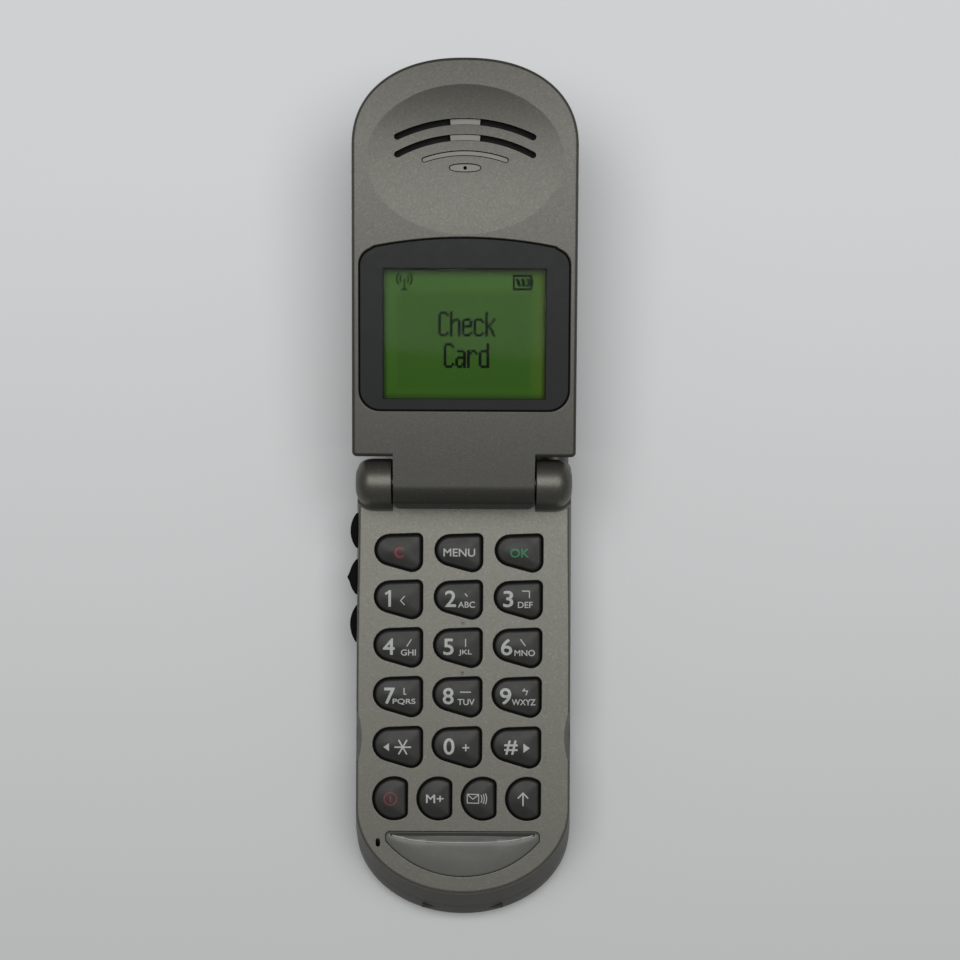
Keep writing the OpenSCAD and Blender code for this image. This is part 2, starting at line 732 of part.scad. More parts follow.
module dome_sheet() {
    color(clear_grey)
        union() {
            block(sheet_x[0], sheet_x[1], sheet_y[0], sheet_y[1], dome_h, dome_h + 0.1);
            for (k = [0 : key_count - 1])
                translate(key_spot(k))
                    rod_z(0, 0, dome_h + 0.1 - skin, dome_h + dome_t, 2);
        }
}

// ---- side buttons ---------------------------------------------------------------------------

function side_button_z() = parting_h + 0.45;

module side_button(i) {
    ends = side_button_ends[i];
    out = side_button_out[i];
    mid = -(ends[0] + ends[1]) / 2;
    half = (ends[1] - ends[0]) / 2;
    wall_x = -half_w + wall;
    r = (half * half + out * out) / (2 * out);
    a = asin(half / r);
    bow = arc([-half_w - out + r, mid], r, 180 - a, 180 + a, 12);
    nub = [[-half_w - out + 0.1, mid + 0.9], [-half_w - out - nub_out, mid], [-half_w - out + 0.1, mid - 0.9]];
    color(button_black)
        union() {
            slab(side_button_z(), side_button_h,
                concat([[wall_x, mid + half]], bow, [[wall_x, mid - half]]));
            if (i == 1)
                slab(side_button_z() + 0.6, side_button_h - 1.2, nub);
            block(wall_x + 0.05, wall_x + 0.55, mid - half - 0.3, mid + half + 0.3,
                side_button_z() - 0.3, side_button_z() + side_button_h - 0.4);
            block(wall_x - skin, wall_x + 0.06, mid - half + 0.2, mid + half - 0.2,
                side_button_z(), side_button_z() + side_button_h - 0.4);
        }
}

module side_switches() {
    color(metal)
        for (ends = side_button_ends) {
            mid = -(ends[0] + ends[1]) / 2;
            block(switch_face + 0.3, switch_face + switch_x, mid - 1.8, mid + 1.8,
                board_h + board_t, board_h + board_t + 1.4);
            block(switch_face, switch_face + 0.3 + skin, mid - 0.8, mid + 0.8,
                board_h + board_t + 0.3, board_h + board_t + 1.1);
        }
}

// ---- parts on the main board ----------------------------------------------------------------

module main_board() {
    chin = face_len - 1.4;
    outline = long_outline(board_x, 2.4, -chin, chin_curve - 1.4, 2, 0.6);
    color(board_green)
        difference() {
            slab(board_h, board_t, outline);
            for (p = screw_spots)
                rod_z(p[0], p[1], board_h - cut, board_h + board_t + cut, boss_r + 0.15);
            for (s = [-1, 1])
                block(s > 0 ? half_w - wall - notch_depth - 0.6 : -half_w,
                    s > 0 ? half_w : -half_w + wall + notch_depth + 0.6,
                    -notch_y - notch_len / 2 - 1.2, -notch_y + notch_len / 2 + 1.2, 0, face_h);
            block(12.5, half_w, -9.5, head_len, 0, face_h);
            block(-half_w, -13, -9, head_len, 0, face_h);
        }
}

module rf_shields() {
    color(metal)
        for (c = [[-shield_x, -1, shield_y[1], shield_y[0]], [1, shield_x, shield_y[1], shield_y[0]],
                [-shield_x, shield_x, shield_y[3], shield_y[2]]])
            difference() {
                block(c[0], c[1], c[2], c[3], roof_h, board_h);
                block(c[0] + 0.25, c[1] - 0.25, c[2] + 0.25, c[3] - 0.25, roof_h + 0.25, board_h + cut);
            }
}

sim_top = 0.45;
module sim_room() {
    translate([0, sim_y, 0])
        block(-sim_size[0] / 2 - 0.2, sim_size[0] / 2 + 0.2, -sim_size[1] / 2 - 0.2, sim_size[1] / 2 + 0.2,
            bay_h - cut, bay_h + sim_top + 0.02);
}

module sim_holder() {
    color(metal)
        translate([0, sim_y, 0])
            difference() {
                block(-sim_size[0] / 2, sim_size[0] / 2, -sim_size[1] / 2, sim_size[1] / 2, bay_h + 0.02,
                    bay_h + sim_top);
                block(-sim_size[0] / 2 + 3, sim_size[0] / 2 - 3, -sim_size[1] / 2 + 1.6, sim_size[1] / 2 - 1.6,
                    bay_h - cut, bay_h + 0.25);
            }
}

module battery_pack() {
    color(dark)
        translate([0, -bay_start - bay_len / 2, cover_t + battery_gap])
            difference() {
                block(-battery_w / 2, battery_w / 2, -battery_len / 2, battery_len / 2, 0, battery_t);
                for (i = [-1.5 : 1 : 1.5])
                    block(i * 3 - 0.9, i * 3 + 0.9, battery_len / 2 - 0.2, battery_len / 2 + cut, 0.6, 2.8);
            }
}

// Sprung contacts that reach through the bay's end wall to the battery
module battery_contacts() {
    color(gold)
        union() {
            block(-7, 7, -bay_start + wall, -bay_start + wall + 1.2, 2.3, 4.1);
            for (i = [-1.5 : 1 : 1.5])
                block(i * 3 - 0.5, i * 3 + 0.5, -bay_start + 0.05, -bay_start + wall + skin, 2.6, 3.8);
        }
}

module mic_room() {
    translate(mic_spot)
        rod_z(0, 0, roof_h - 1.4, parting_h + cut, mic_r + 0.1);
}

module microphone() {
    color(metal)
        translate(mic_spot)
            union() {
                rod_z(0, 0, board_h + board_t, board_h + board_t + 1.4, mic_r);
                rod_z(-1.2, -0.6, board_h + board_t + 1.4 - skin, ceiling_h - layer_gap, 0.6);
            }
}

module ringer() {
    color(dark)
        difference() {
            rod_z(0, ringer_y, screw_seat, screw_seat + ringer_t, ringer_r);
            rod_z(0, ringer_y, screw_seat + ringer_t - 0.4, screw_seat + ringer_t + cut, 1);
        }
}

motor_x = -4.6;
motor_y = -2.2;
motor_h = screw_seat + motor_r;
motor_shaft_r = 0.4;
module vibra_motor() {
    color(metal)
        difference() {
            union() {
                rod_x(motor_x, motor_x + motor_len, motor_y, motor_h, motor_r);
                block(motor_x, motor_x + motor_len, motor_y - motor_r * 0.7, motor_y + motor_r * 0.7,
                    screw_seat, motor_h);
            }
            rod_x(motor_x + 2, motor_x + motor_len + cut, motor_y, motor_h, motor_shaft_r + shaft_fit);
        }
}

module vibra_weight() {
    x0 = motor_x + motor_len + 0.3;
    color(metal)
        union() {
            rod_x(motor_x + 2.4, x0 + 2.6, motor_y, motor_h, motor_shaft_r);
            difference() {
                rod_x(x0, x0 + 2.4, motor_y, motor_h, weight_r);
                block(x0 - cut, x0 + 3, motor_y - 5, motor_y + 5, motor_h + 0.2, motor_h + 5);
            }
        }
}

// ---- antenna, sockets and screws --------------------------------------------------------------

module antenna_sleeve() {
    color(painted)
        difference() {
            rod_y(antenna_x, 0, head_len + collar_len, antenna_h, collar_r);
            rod_y(antenna_x, -cut, head_len + collar_len + cut, antenna_h, rod_r + shaft_fit);
        }
}

module antenna_whip() {
    y0 = head_len + collar_len + 0.15;
    color(dark)
        union() {
            rod_y(antenna_x, -rod_len + 1, y0 + 1, antenna_h, rod_r);
            rod_y(antenna_x, y0, y0 + stub_len, antenna_h, stub_r);
            rod_y(antenna_x, y0 + stub_len - skin, y0 + stub_len + 1, antenna_h, stub_r - 0.6);
        }
}

jack_h = 4.6;
jack_wall = 1.3;
function jack_top() = jack_h + jack_r + jack_wall;
function jack_half() = jack_r + jack_wall;
module jack_room() {
    block(jack_x - jack_half() - layer_gap, jack_x + jack_half() + layer_gap,
        head_len - jack_len - 1.2 - layer_gap, head_len + cut, jack_h - jack_half() - layer_gap, parting_h + cut);
}

module headset_jack() {
    color(dark)
        difference() {
            block(jack_x - jack_half(), jack_x + jack_half(), head_len - jack_len - 1.2, head_len,
                jack_h - jack_half(), jack_top());
            rod_y(jack_x, head_len - jack_len, head_len + cut, jack_h, jack_r);
        }
}

connector_w = 16;
connector_back = -foot_len + 7.6;
connector_h = [1.8, 5.2];
module connector_room() {
    block(-connector_w / 2, connector_w / 2, -foot_len - cut, connector_back, connector_h[0], connector_h[1]);
}

module system_connector() {
    color(dark)
        union() {
            difference() {
                block(-connector_w / 2 + layer_gap, connector_w / 2 - layer_gap, -foot_len + 1.6,
                    connector_back - layer_gap, connector_h[0] + layer_gap, connector_h[1] - layer_gap);
                block(-connector_w / 2 + 1, connector_w / 2 - 1, -foot_len - cut, -foot_len + 4, 2.7, 4.3);
            }
            for (i = [-5 : 5])
                block(i * 1.2 - 0.3, i * 1.2 + 0.3, -foot_len + 2.2, -foot_len + 4 + skin, 2.7 - skin, 3);
        }
}

// A screw with a six-sided socket, its head down
module screw(head_r, head_t, r, length) {
    difference() {
        union() {
            cylinder(h = head_t, r = head_r);
            translate([0, 0, head_t - skin])
                cylinder(h = length + skin, r = r);
        }
        translate([0, 0, -cut])
            cylinder(h = head_t * 0.6 + cut, r = head_r * 0.45, $fn = 6);
    }
}

module housing_screws() {
    color(metal)
        for (p = screw_spots)
            translate([p[0], p[1], screw_seat])
                screw(screw_head_r, screw_head_t, screw_r, screw_len);
}

module hinge_shaft() {
    color(metal)
        rod_x(-knuckle_x - shaft_seat, -barrel_x + 5, 0, hinge_h, shaft_r);
}

module hinge_pin() {
    color(metal)
        rod_x(barrel_x - 5, knuckle_x + shaft_seat, 0, hinge_h, shaft_r);
}

// ---- lid ------------------------------------------------------------------------------------

function lens_outline(grow) = let (half = lens_x + grow, corner = 3.3, u0 = lens_u0 - grow,
        u1 = lens_u1 + grow) concat(
    arc([half - corner, u0 + corner], corner, -90, 0, corner_steps),
    [for (i = [0 : 12]) let (t = 1 - i / 6, x = half - 0.6) [x * t + (i == 0 ? 0.6 : i == 12 ? -0.6 : 0),
        u1 + lens_rise * (1 - t * t) - (i == 0 || i == 12 ? 1.6 : 0)]],
    arc([-half + corner, u0 + corner], corner, 180, 270, corner_steps));

// Ear dish: the surface of a ring whose two radii give the dish its width and its length
module ear_dish() {
    across = dish_x * dish_x / (2 * dish_depth);
    along = dish_y * dish_y / (2 * dish_depth);
    profile = [for (i = [-10 : 10]) let (x = (dish_x + 1) * i / 10) [along - x * x / (2 * across), x]];
    translate([0, dish_u, barrel_r - dish_depth + along])
        rotate([0, 90, 0])
            rotate_extrude($fn = 180)
                polygon(concat([[along * 0.6, -dish_x - 1]], profile, [[along * 0.6, dish_x + 1]]));
}

module lid_face_shell() {
    hull() {
        lid_slab(0, skin, lid_outline(0.75));
        lid_slab(0.3, 0.3 + skin, lid_outline(0.2));
        lid_slab(0.9, lid_parting, lid_outline(0));
    }
}

module lid_barrel() {
    rod_x(-barrel_x, barrel_x, 0, 0, barrel_r);
    block(-barrel_x, barrel_x, 0, lid_shoulder, -barrel_r, barrel_r);
    block(-barrel_x, barrel_x, lid_shoulder - skin, lid_shoulder + 1, barrel_r - lid_parting, barrel_r - 0.75);
    block(-barrel_x + 1.2, barrel_x - 1.2, -tail_r * 0.905, -barrel_r * 0.7, -tail_r * 0.42, -tail_r * 0.12);
}

module slots(width, depth0, depth1) {
    for (r = slot_radii)
        for (s = [0, 1])
            mirror([s, 0, 0])
                translate([0, slot_centre, 0])
                    lid_slab(depth0, depth1, sound_slot(r, width, bridge_x, slot_x));
}

module lid_face() {
    color(lid_paint)
        on_lid()
            difference() {
                union() {
                    lid_face_shell();
                    lid_barrel();
                }
                difference() {
                    union() {
                        intersection() {
                            lid_slab(lid_face_wall, lid_parting + cut, lid_outline(lid_wall));
                            block(-lid_w, lid_w, 0, lens_u1 + lens_rise + 0.3, -lid_w, lid_w);
                        }
                        lid_slab(dish_depth + dish_wall, lid_parting + cut, lid_outline(lid_wall));
                    }
                    for (p = lid_screw_spots)
                        rod_z(p[0], p[1], 0, barrel_r, 1.7);
                }
                for (p = lid_screw_spots)
                    rod_z(p[0], p[1], barrel_r - lid_parting - cut, barrel_r - lid_screw_top, screw_r);
                lid_slab(-cut, lens_t, lens_outline(lens_gap));
                lid_block(-window_x, window_x, window_u0, window_u1, 0, lid_parting);
                ear_dish();
                slots(slot_w, -cut, lid_parting);
                for (s = [0, 1])
                    mirror([s, 0, 0])
                        translate([0, slot_centre, 0])
                            lid_slab(-cut, dish_depth + 0.5, sound_slot(groove_r, slot_w * 0.8, 0, groove_x));
                for (r = slot_radii)
                    translate([0, slot_centre, 0])
                        lid_slab(-cut, dish_depth + 0.6, sound_slot(r, slot_w, -bridge_x - 0.1, bridge_x + 0.1));
                translate([0, eyelet_u, 0])
                    lid_slab(-cut, dish_depth + 0.5, eye(3.2, 1.35));
                rod_z(0, eyelet_u, -barrel_r, barrel_r, 0.35);
                rod_x(-barrel_x - cut, barrel_x + cut, 0, 0, cartridge_r);
                lid_block(flex_x - 0.2, flex_x + flex_w + 0.2, 0, lid_shoulder + lid_wall + cut, flex_depth() - 0.3,
                    flex_depth() + flex_t + 0.3);
            }
}

module lid_cover() {
    color(lid_paint)
        on_lid()
            difference() {
                hull() {
                    lid_slab(lid_parting, lid_parting + skin, lid_outline(0));
                    on_lid_back()
                        slab(2.2, skin, lid_outline(0));
                    on_lid_back()
                        slab(0.9, skin, lid_outline(0.6));
                    on_lid_back()
                        slab(0, skin, lid_outline(2.2));
                }
                difference() {
                    on_lid_back()
                        slab(lid_wall, 3 * barrel_r, lid_outline(lid_wall + 0.4));
                    for (p = lid_screw_spots)
                        rod_z(p[0], p[1], -2 * barrel_r, barrel_r, 1.9);
                }
                for (p = lid_screw_spots) {
                    rod_z(p[0], p[1], -2 * barrel_r, barrel_r, screw_r + 0.1);
                    rod_z(p[0], p[1], -2 * barrel_r, lid_head_z(p) + 0.7, 1.45);
                }
                lid_block(flex_x - 0.2, flex_x + flex_w + 0.2, 0, lid_shoulder + lid_wall + cut + 0.4,
                    flex_depth() - 0.3, flex_depth() + flex_t + 0.3);
                block(-lid_w, lid_w, 0, lid_shoulder, -lid_w, lid_w);
            }
}

// Where the head of a lid screw sits on the sloping back
function lid_head_z(p) = -barrel_r + (p[1] - lid_shoulder) * tan(taper_angle) + 0.5;

module lid_screws() {
    color(metal)
        on_lid()
            for (p = lid_screw_spots)
                translate([p[0], p[1], lid_head_z(p)])
                    screw(1.35, 0.7, screw_r, barrel_r - lid_screw_top - lid_head_z(p) - 0.7);
}

module display_lens() {
    color(lens_black)
        on_lid()
            lid_slab(0, lens_t, lens_outline(0));
}

module lcd_panel() {
    color(lcd_green)
        on_lid()
            union() {
                lid_block(-window_x - 2.1, window_x + 2.1, window_u0 - 1.7, window_u1 + 2.25,
                    lcd_depth, lcd_depth + lcd_t * 0.55);
                lid_block(-window_x - 1.3, window_x + 1.3, window_u0 - 0.7, window_u1 + 0.85,
                    lcd_depth + lcd_t * 0.55 - skin, lcd_depth + lcd_t);
            }
}

module backlight_guide() {
    color(clear_grey)
        on_lid()
            lid_block(-window_x - 1.7, window_x + 1.7, window_u0 - 1.3, window_u1 + 1.85,
                guide_depth, guide_depth + guide_t);
}

module display_board() {
    color(board_green)
        on_lid()
            union() {
                lid_block(-window_x - 2.4, window_x + 2.4, lid_screw_u[0] + 2.2, lid_screw_u[1] - 2.4,
                    lid_board_depth, lid_board_depth + lid_board_t);
                lid_block(-6, 6, window_u1 + 3.25, window_u1 + 7.25, lid_board_depth - 0.8, lid_board_depth + skin);
            }
}

module earpiece_mesh() {
    color(dark)
        on_lid()
            lid_slab(mesh_depth, mesh_depth + mesh_t,
                long_outline(slot_x + 1.4, eyelet_u - 1.9, slot_centre + slot_radii[0] + 2.6, 6, 2.2, 1));
}

module earpiece() {
    depth = mesh_depth + mesh_t + layer_gap;
    color(dark)
        on_lid()
            translate([0, earpiece_u, 0])
                difference() {
                    rod_z(0, 0, barrel_r - depth - earpiece_t, barrel_r - depth, earpiece_r);
                    rod_z(0, 0, barrel_r - depth - 0.4, barrel_r - depth + cut, earpiece_r * 0.7);
                }
}

module hinge_cartridge() {
    color(metal)
        on_lid()
            difference() {
                rod_x(-barrel_x, -1, 0, 0, cartridge_r);
                rod_x(-barrel_x - cut, -barrel_x + 5.4, 0, 0, shaft_r + shaft_fit);
            }
}

module hinge_bush() {
    color(metal)
        on_lid()
            difference() {
                rod_x(barrel_x - 5.4, barrel_x, 0, 0, cartridge_r);
                rod_x(barrel_x - 5.4 - cut, barrel_x + cut, 0, 0, shaft_r + shaft_fit);
            }
}

// The ribbon: two turns round the hinge axis, then flat under the display board
function flex_depth() = lid_board_depth + lid_board_t + layer_gap;
module hinge_flex() {
    z = barrel_r - flex_depth();
    ring = 1.6;
    color(gold)
        on_lid()
            union() {
                difference() {
                    rod_x(flex_x, flex_x + flex_w, 0, 0, ring + flex_t);
                    rod_x(flex_x - cut, flex_x + flex_w + cut, 0, 0, ring);
                }
                block(flex_x, flex_x + flex_w, ring, 17, z - flex_t, z);
            }
}

// ---- which nodes are drawn ------------------------------------------------------------------

front_housing();
rear_housing();
chin_badge();
keypad_membrane();
dome_sheet();
main_board();
rf_shields();
sim_holder();
battery_pack();
battery_contacts();
microphone();
ringer();
vibra_motor();
vibra_weight();
antenna_sleeve();
antenna_whip();
headset_jack();
system_connector();
housing_screws();
side_switches();
hinge_shaft();
hinge_pin();
battery_cover();
battery_catch();
lid_face();
lid_cover();
display_lens();
lcd_panel();
backlight_guide();
display_board();
earpiece();
earpiece_mesh();
lid_screws();
hinge_cartridge();
hinge_bush();
hinge_flex();
for (i = [0 : len(side_button_names) - 1])
    side_button(i);
for (k = [0 : key_count - 1])
    key(k);
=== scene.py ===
from math import asin, atan2, cos, degrees, hypot, pi, radians, sin, sqrt
import bmesh
import bpy
from mathutils import Matrix, Vector


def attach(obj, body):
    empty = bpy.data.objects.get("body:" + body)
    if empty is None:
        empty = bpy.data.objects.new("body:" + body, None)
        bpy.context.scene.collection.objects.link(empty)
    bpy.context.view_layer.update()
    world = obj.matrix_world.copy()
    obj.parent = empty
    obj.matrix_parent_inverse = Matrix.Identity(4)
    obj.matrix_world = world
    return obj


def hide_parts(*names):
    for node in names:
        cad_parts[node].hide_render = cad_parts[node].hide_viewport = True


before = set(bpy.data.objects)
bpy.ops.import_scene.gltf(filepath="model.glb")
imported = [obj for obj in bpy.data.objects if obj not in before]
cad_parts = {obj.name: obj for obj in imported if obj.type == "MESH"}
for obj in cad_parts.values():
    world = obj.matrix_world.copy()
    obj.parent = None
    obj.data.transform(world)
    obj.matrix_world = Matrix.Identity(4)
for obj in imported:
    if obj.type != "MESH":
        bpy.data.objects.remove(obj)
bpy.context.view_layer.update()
print("frame loaded")

# Lengths are in millimetres while a piece is made, and settle() turns them into metres.
body = dict(halfWide=21.0, faceLong=79.5, headLong=4.6, faceHigh=12.5, chinCurve=16.5, chinReach=5.9,
            chinFoot=3.5, parting=7.0, wall=1.3, ceiling=11.1, rimBevel=0.55, backBevel=2.4, cornerRound=2.2)
hinge = dict(high=18.1, barrelRadius=4.6, knuckleIn=13.7, barrelEnd=13.4, endRound=3.2, open=174)
chinSlope = body["chinReach"] / (body["faceHigh"] - body["chinFoot"])
lidPlace = Matrix.Translation((0, 0, hinge["high"])) @ Matrix.Rotation(radians(180 - hinge["open"]), 4, "X")


# ---- outlines ----

def arc(centre, radius, start, end, steps):
    return [(centre[0] + radius * cos(radians(start + (end - start) * i / steps)),
             centre[1] + radius * sin(radians(start + (end - start) * i / steps))) for i in range(steps + 1)]


def signedPower(value, power):
    return (1 if value >= 0 else -1) * abs(value) ** power


# a round end at y1 and a straight end with small corners at y0
def longOutline(half, y0, y1, curve, power, corner, steps=72, cornerSteps=8):
    way = 1 if y1 > y0 else -1
    points = []
    for i in range(steps + 1):
        t = pi * i / steps
        points.append((half * signedPower(cos(t), 2 / power),
                       y1 - way * curve + way * curve * max(sin(t), 0) ** (2 / power)))
    run = [y0 + way * corner + (y1 - way * curve - y0 - way * corner) * i / 12 for i in range(1, 12)]
    points += [(-half, y) for y in reversed(run)]
    points += arc((-half + corner, y0 + way * corner), corner, 180, 180 + way * 90, cornerSteps)
    points += arc((half - corner, y0 + way * corner), corner, -way * 90, 0, cornerSteps)
    points += [(half, y) for y in run]
    return points


def bodyOutline(z, inset=0.0):
    end = -(body["faceLong"] + chinSlope * (body["faceHigh"] - max(z, body["chinFoot"])))
    return longOutline(body["halfWide"] - inset, body["headLong"] - inset, end + inset,
                       body["chinCurve"] - inset, 2, max(body["cornerRound"] - inset, 0.6))


# the outline round circles (x, y, radius) given counterclockwise, with every radius larger by grow
def roundHull(circles, grow):
    def touch(a, b):
        dx, dy = b[0] - a[0], b[1] - a[1]
        return degrees(atan2(dy, dx)) - 90 + degrees(asin((a[2] - b[2]) / hypot(dx, dy)))

    points = []
    for i, circle in enumerate(circles):
        before = touch(circles[i - 1], circle)
        after = touch(circle, circles[(i + 1) % len(circles)])
        points += arc(circle, circle[2] + grow, before, before + (after - before + 720) % 360, 10)
    return points


# a band between two radii, from one angle to another
def bandOutline(centre, inner, outer, start, end, steps=14):
    return arc(centre, outer, start, end, steps) + arc(centre, inner, end, start, steps)


def distanceTo(points, x, y):
    best = 1e9
    for i, (ax, ay) in enumerate(points):
        bx, by = points[i - 1]
        dx, dy = bx - ax, by - ay
        length = dx * dx + dy * dy
        t = 0 if length == 0 else min(max(((x - ax) * dx + (y - ay) * dy) / length, 0), 1)
        best = min(best, hypot(x - ax - t * dx, y - ay - t * dy))
    return best


# ---- solids ----

# gives a material slot to all faces, or to those whose middle passes the test
def painted(bm, slot, test=None):
    for side in bm.faces:
        if test is None or test(side.calc_center_median()):
            side.material_index = slot
    return bm


# one outline drawn through several levels, each (z, points)
def drawn(levels, wallSlot=0):
    bm = bmesh.new()
    z, points = levels[0]
    ring = [bm.verts.new((x, y, z)) for x, y in points]
    face = bm.faces.new(ring)
    for z, points in levels[1:]:
        made = bmesh.ops.extrude_face_region(bm, geom=[face, *face.edges])["geom"]
        fresh = {g for g in made if isinstance(g, bmesh.types.BMVert)}
        face = next(g for g in made if isinstance(g, bmesh.types.BMFace))
        ring = [next(e.other_vert(v) for e in v.link_edges if e.other_vert(v) in fresh) for v in ring]
        for vert, (x, y) in zip(ring, points):
            vert.co = (x, y, z)
    bmesh.ops.remove_doubles(bm, verts=bm.verts, dist=1e-4)
    bmesh.ops.recalc_face_normals(bm, faces=bm.faces)
    return painted(bm, wallSlot)


# one outline drawn straight up
def prism(points, z0, z1, slot=0):
    return drawn([(z0, points), (z1, points)], slot)


def box(x0, x1, y0, y1, z0, z1, round=0.0, slot=0, segments=2):
    bm = bmesh.new()
    bmesh.ops.create_cube(bm, size=1, matrix=Matrix.Translation(((x0 + x1) / 2, (y0 + y1) / 2, (z0 + z1) / 2))
                          @ Matrix.Diagonal((x1 - x0, y1 - y0, z1 - z0, 1)))
    if round:
        bevel(bm, list(bm.edges), round, segments)
    return painted(bm, slot)


# turns what stands upright so that it points along a direction
def pointing(direction):
    return direction.to_track_quat("Z", "Y").to_matrix().to_4x4()


def rod(start, end, radius, segments=48, slot=0):
    start, end = Vector(start), Vector(end)
    bm = bmesh.new()
    bmesh.ops.create_cone(bm, cap_ends=True, segments=segments, radius1=radius, radius2=radius,
                          depth=(end - start).length,
                          matrix=Matrix.Translation((start + end) / 2) @ pointing(end - start))
    return painted(bm, slot)


# upright rods at a list of places
def rodsAt(places, z0, z1, radius, slot=0):
    return together([rod((x, y, z0), (x, y, z1), radius, slot=slot) for x, y in places])


# a turned part: its half profile (radius, height) spun round an axis
def turned(profile, start, end, steps=64):
    start, end = Vector(start), Vector(end)
    bm = bmesh.new()
    verts = [bm.verts.new((r, 0, h)) for r, h in profile]
    edges = [bm.edges.new((a, b)) for a, b in zip(verts, verts[1:])]
    bmesh.ops.spin(bm, geom=verts + edges, cent=(0, 0, 0), axis=(0, 0, 1), angle=2 * pi, steps=steps,
                   use_merge=True)
    bmesh.ops.remove_doubles(bm, verts=bm.verts, dist=1e-4)
    bmesh.ops.recalc_face_normals(bm, faces=bm.faces)
    bmesh.ops.transform(bm, matrix=Matrix.Translation(start) @ pointing(end - start), verts=bm.verts)
    return bm


# an outline of (y, z) drawn along x
def drawnAcross(x0, x1, points):
    bm = prism(points, x0, x1)
    turn = Matrix(((0, 0, 1, 0), (1, 0, 0, 0), (0, 1, 0, 0), (0, 0, 0, 1)))
    bmesh.ops.transform(bm, matrix=turn, verts=bm.verts)
    bmesh.ops.recalc_face_normals(bm, faces=bm.faces)
    return bm


def bevel(bm, edges, width, segments=3):
    bmesh.ops.bevel(bm, geom=edges, offset=width, offset_type="OFFSET", segments=segments, profile=0.5,
                    affect="EDGES", clamp_overlap=True, material=-1)


# bevels the edges whose two ends pass the test
def bevelWhere(bm, test, width, segments=3):
    bevel(bm, [e for e in bm.edges if all(test(v.co) for v in e.verts)], width, segments)


def meshOf(bm, name="part"):
    mesh = bpy.data.meshes.new(name)
    bm.to_mesh(mesh)
    bm.free()
    return mesh


def addObject(name, data):
    made = bpy.data.objects.new(name, data)
    bpy.context.scene.collection.objects.link(made)
    return made


def together(parts):
    out = bmesh.new()
    for part in parts:
        mesh = meshOf(part)
        out.from_mesh(mesh)
        bpy.data.meshes.remove(mesh)
    return out


def mirrored(bm):
    copy = bm.copy()
    bmesh.ops.scale(copy, vec=(-1, 1, 1), verts=copy.verts)
    bmesh.ops.reverse_faces(copy, faces=copy.faces)
    return copy


# empty slots let a Boolean hand on the material slots of both solids
slotCount = 4


def combine(solid, tools, how="DIFFERENCE"):
    for tool in tools:
        held = []
        for part in (solid, tool):
            mesh = meshOf(part)
            for _ in range(slotCount):
                mesh.materials.append(None)
            held.append(addObject("part", mesh))
        modifier = held[0].modifiers.new("boolean", "BOOLEAN")
        modifier.operation = how
        modifier.solver = "MANIFOLD"
        modifier.object = held[1]
        shown = held[0].evaluated_get(bpy.context.evaluated_depsgraph_get())
        mesh = bpy.data.meshes.new_from_object(shown)
        solid = bmesh.new()
        solid.from_mesh(mesh)
        bpy.data.meshes.remove(mesh)
        for holder in held:
            old = holder.data
            bpy.data.objects.remove(holder)
            bpy.data.meshes.remove(old)
        bmesh.ops.remove_doubles(solid, verts=solid.verts, dist=1e-4)
        bmesh.ops.dissolve_degenerate(solid, dist=1e-4, edges=solid.edges)
    return solid


# the finished piece: placed, in metres, smooth with crisp edges, riding on its body
def settle(bm, name, bodyName, materials, place=None, replaces=(), crisp=34, weighted=True):
    if place is not None:
        bmesh.ops.transform(bm, matrix=place, verts=bm.verts)
    bmesh.ops.scale(bm, vec=(0.001, 0.001, 0.001), verts=bm.verts)
    mesh = meshOf(bm, name)
    for material in materials:
        mesh.materials.append(material)
    mesh.shade_smooth()
    mesh.set_sharp_from_angle(angle=radians(crisp))
    piece = addObject(name, mesh)
    if weighted:
        normals = piece.modifiers.new("weightedNormal", "WEIGHTED_NORMAL")
        normals.keep_sharp = True
    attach(piece, bodyName)
    if replaces:
        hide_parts(*replaces)
    return piece


# ---- materials ----

# gives a socket a value, or links another socket to it
def feed(tree, socket, value):
    if isinstance(value, bpy.types.NodeSocket):
        tree.links.new(value, socket)
    else:
        socket.default_value = value


# a new node with its properties set and its inputs fed
def addNode(tree, kind, inputs={}, **settings):
    made = tree.nodes.new(kind)
    for key, value in settings.items():
        setattr(made, key, value)
    for key, value in inputs.items():
        feed(tree, made.inputs[key], value)
    return made


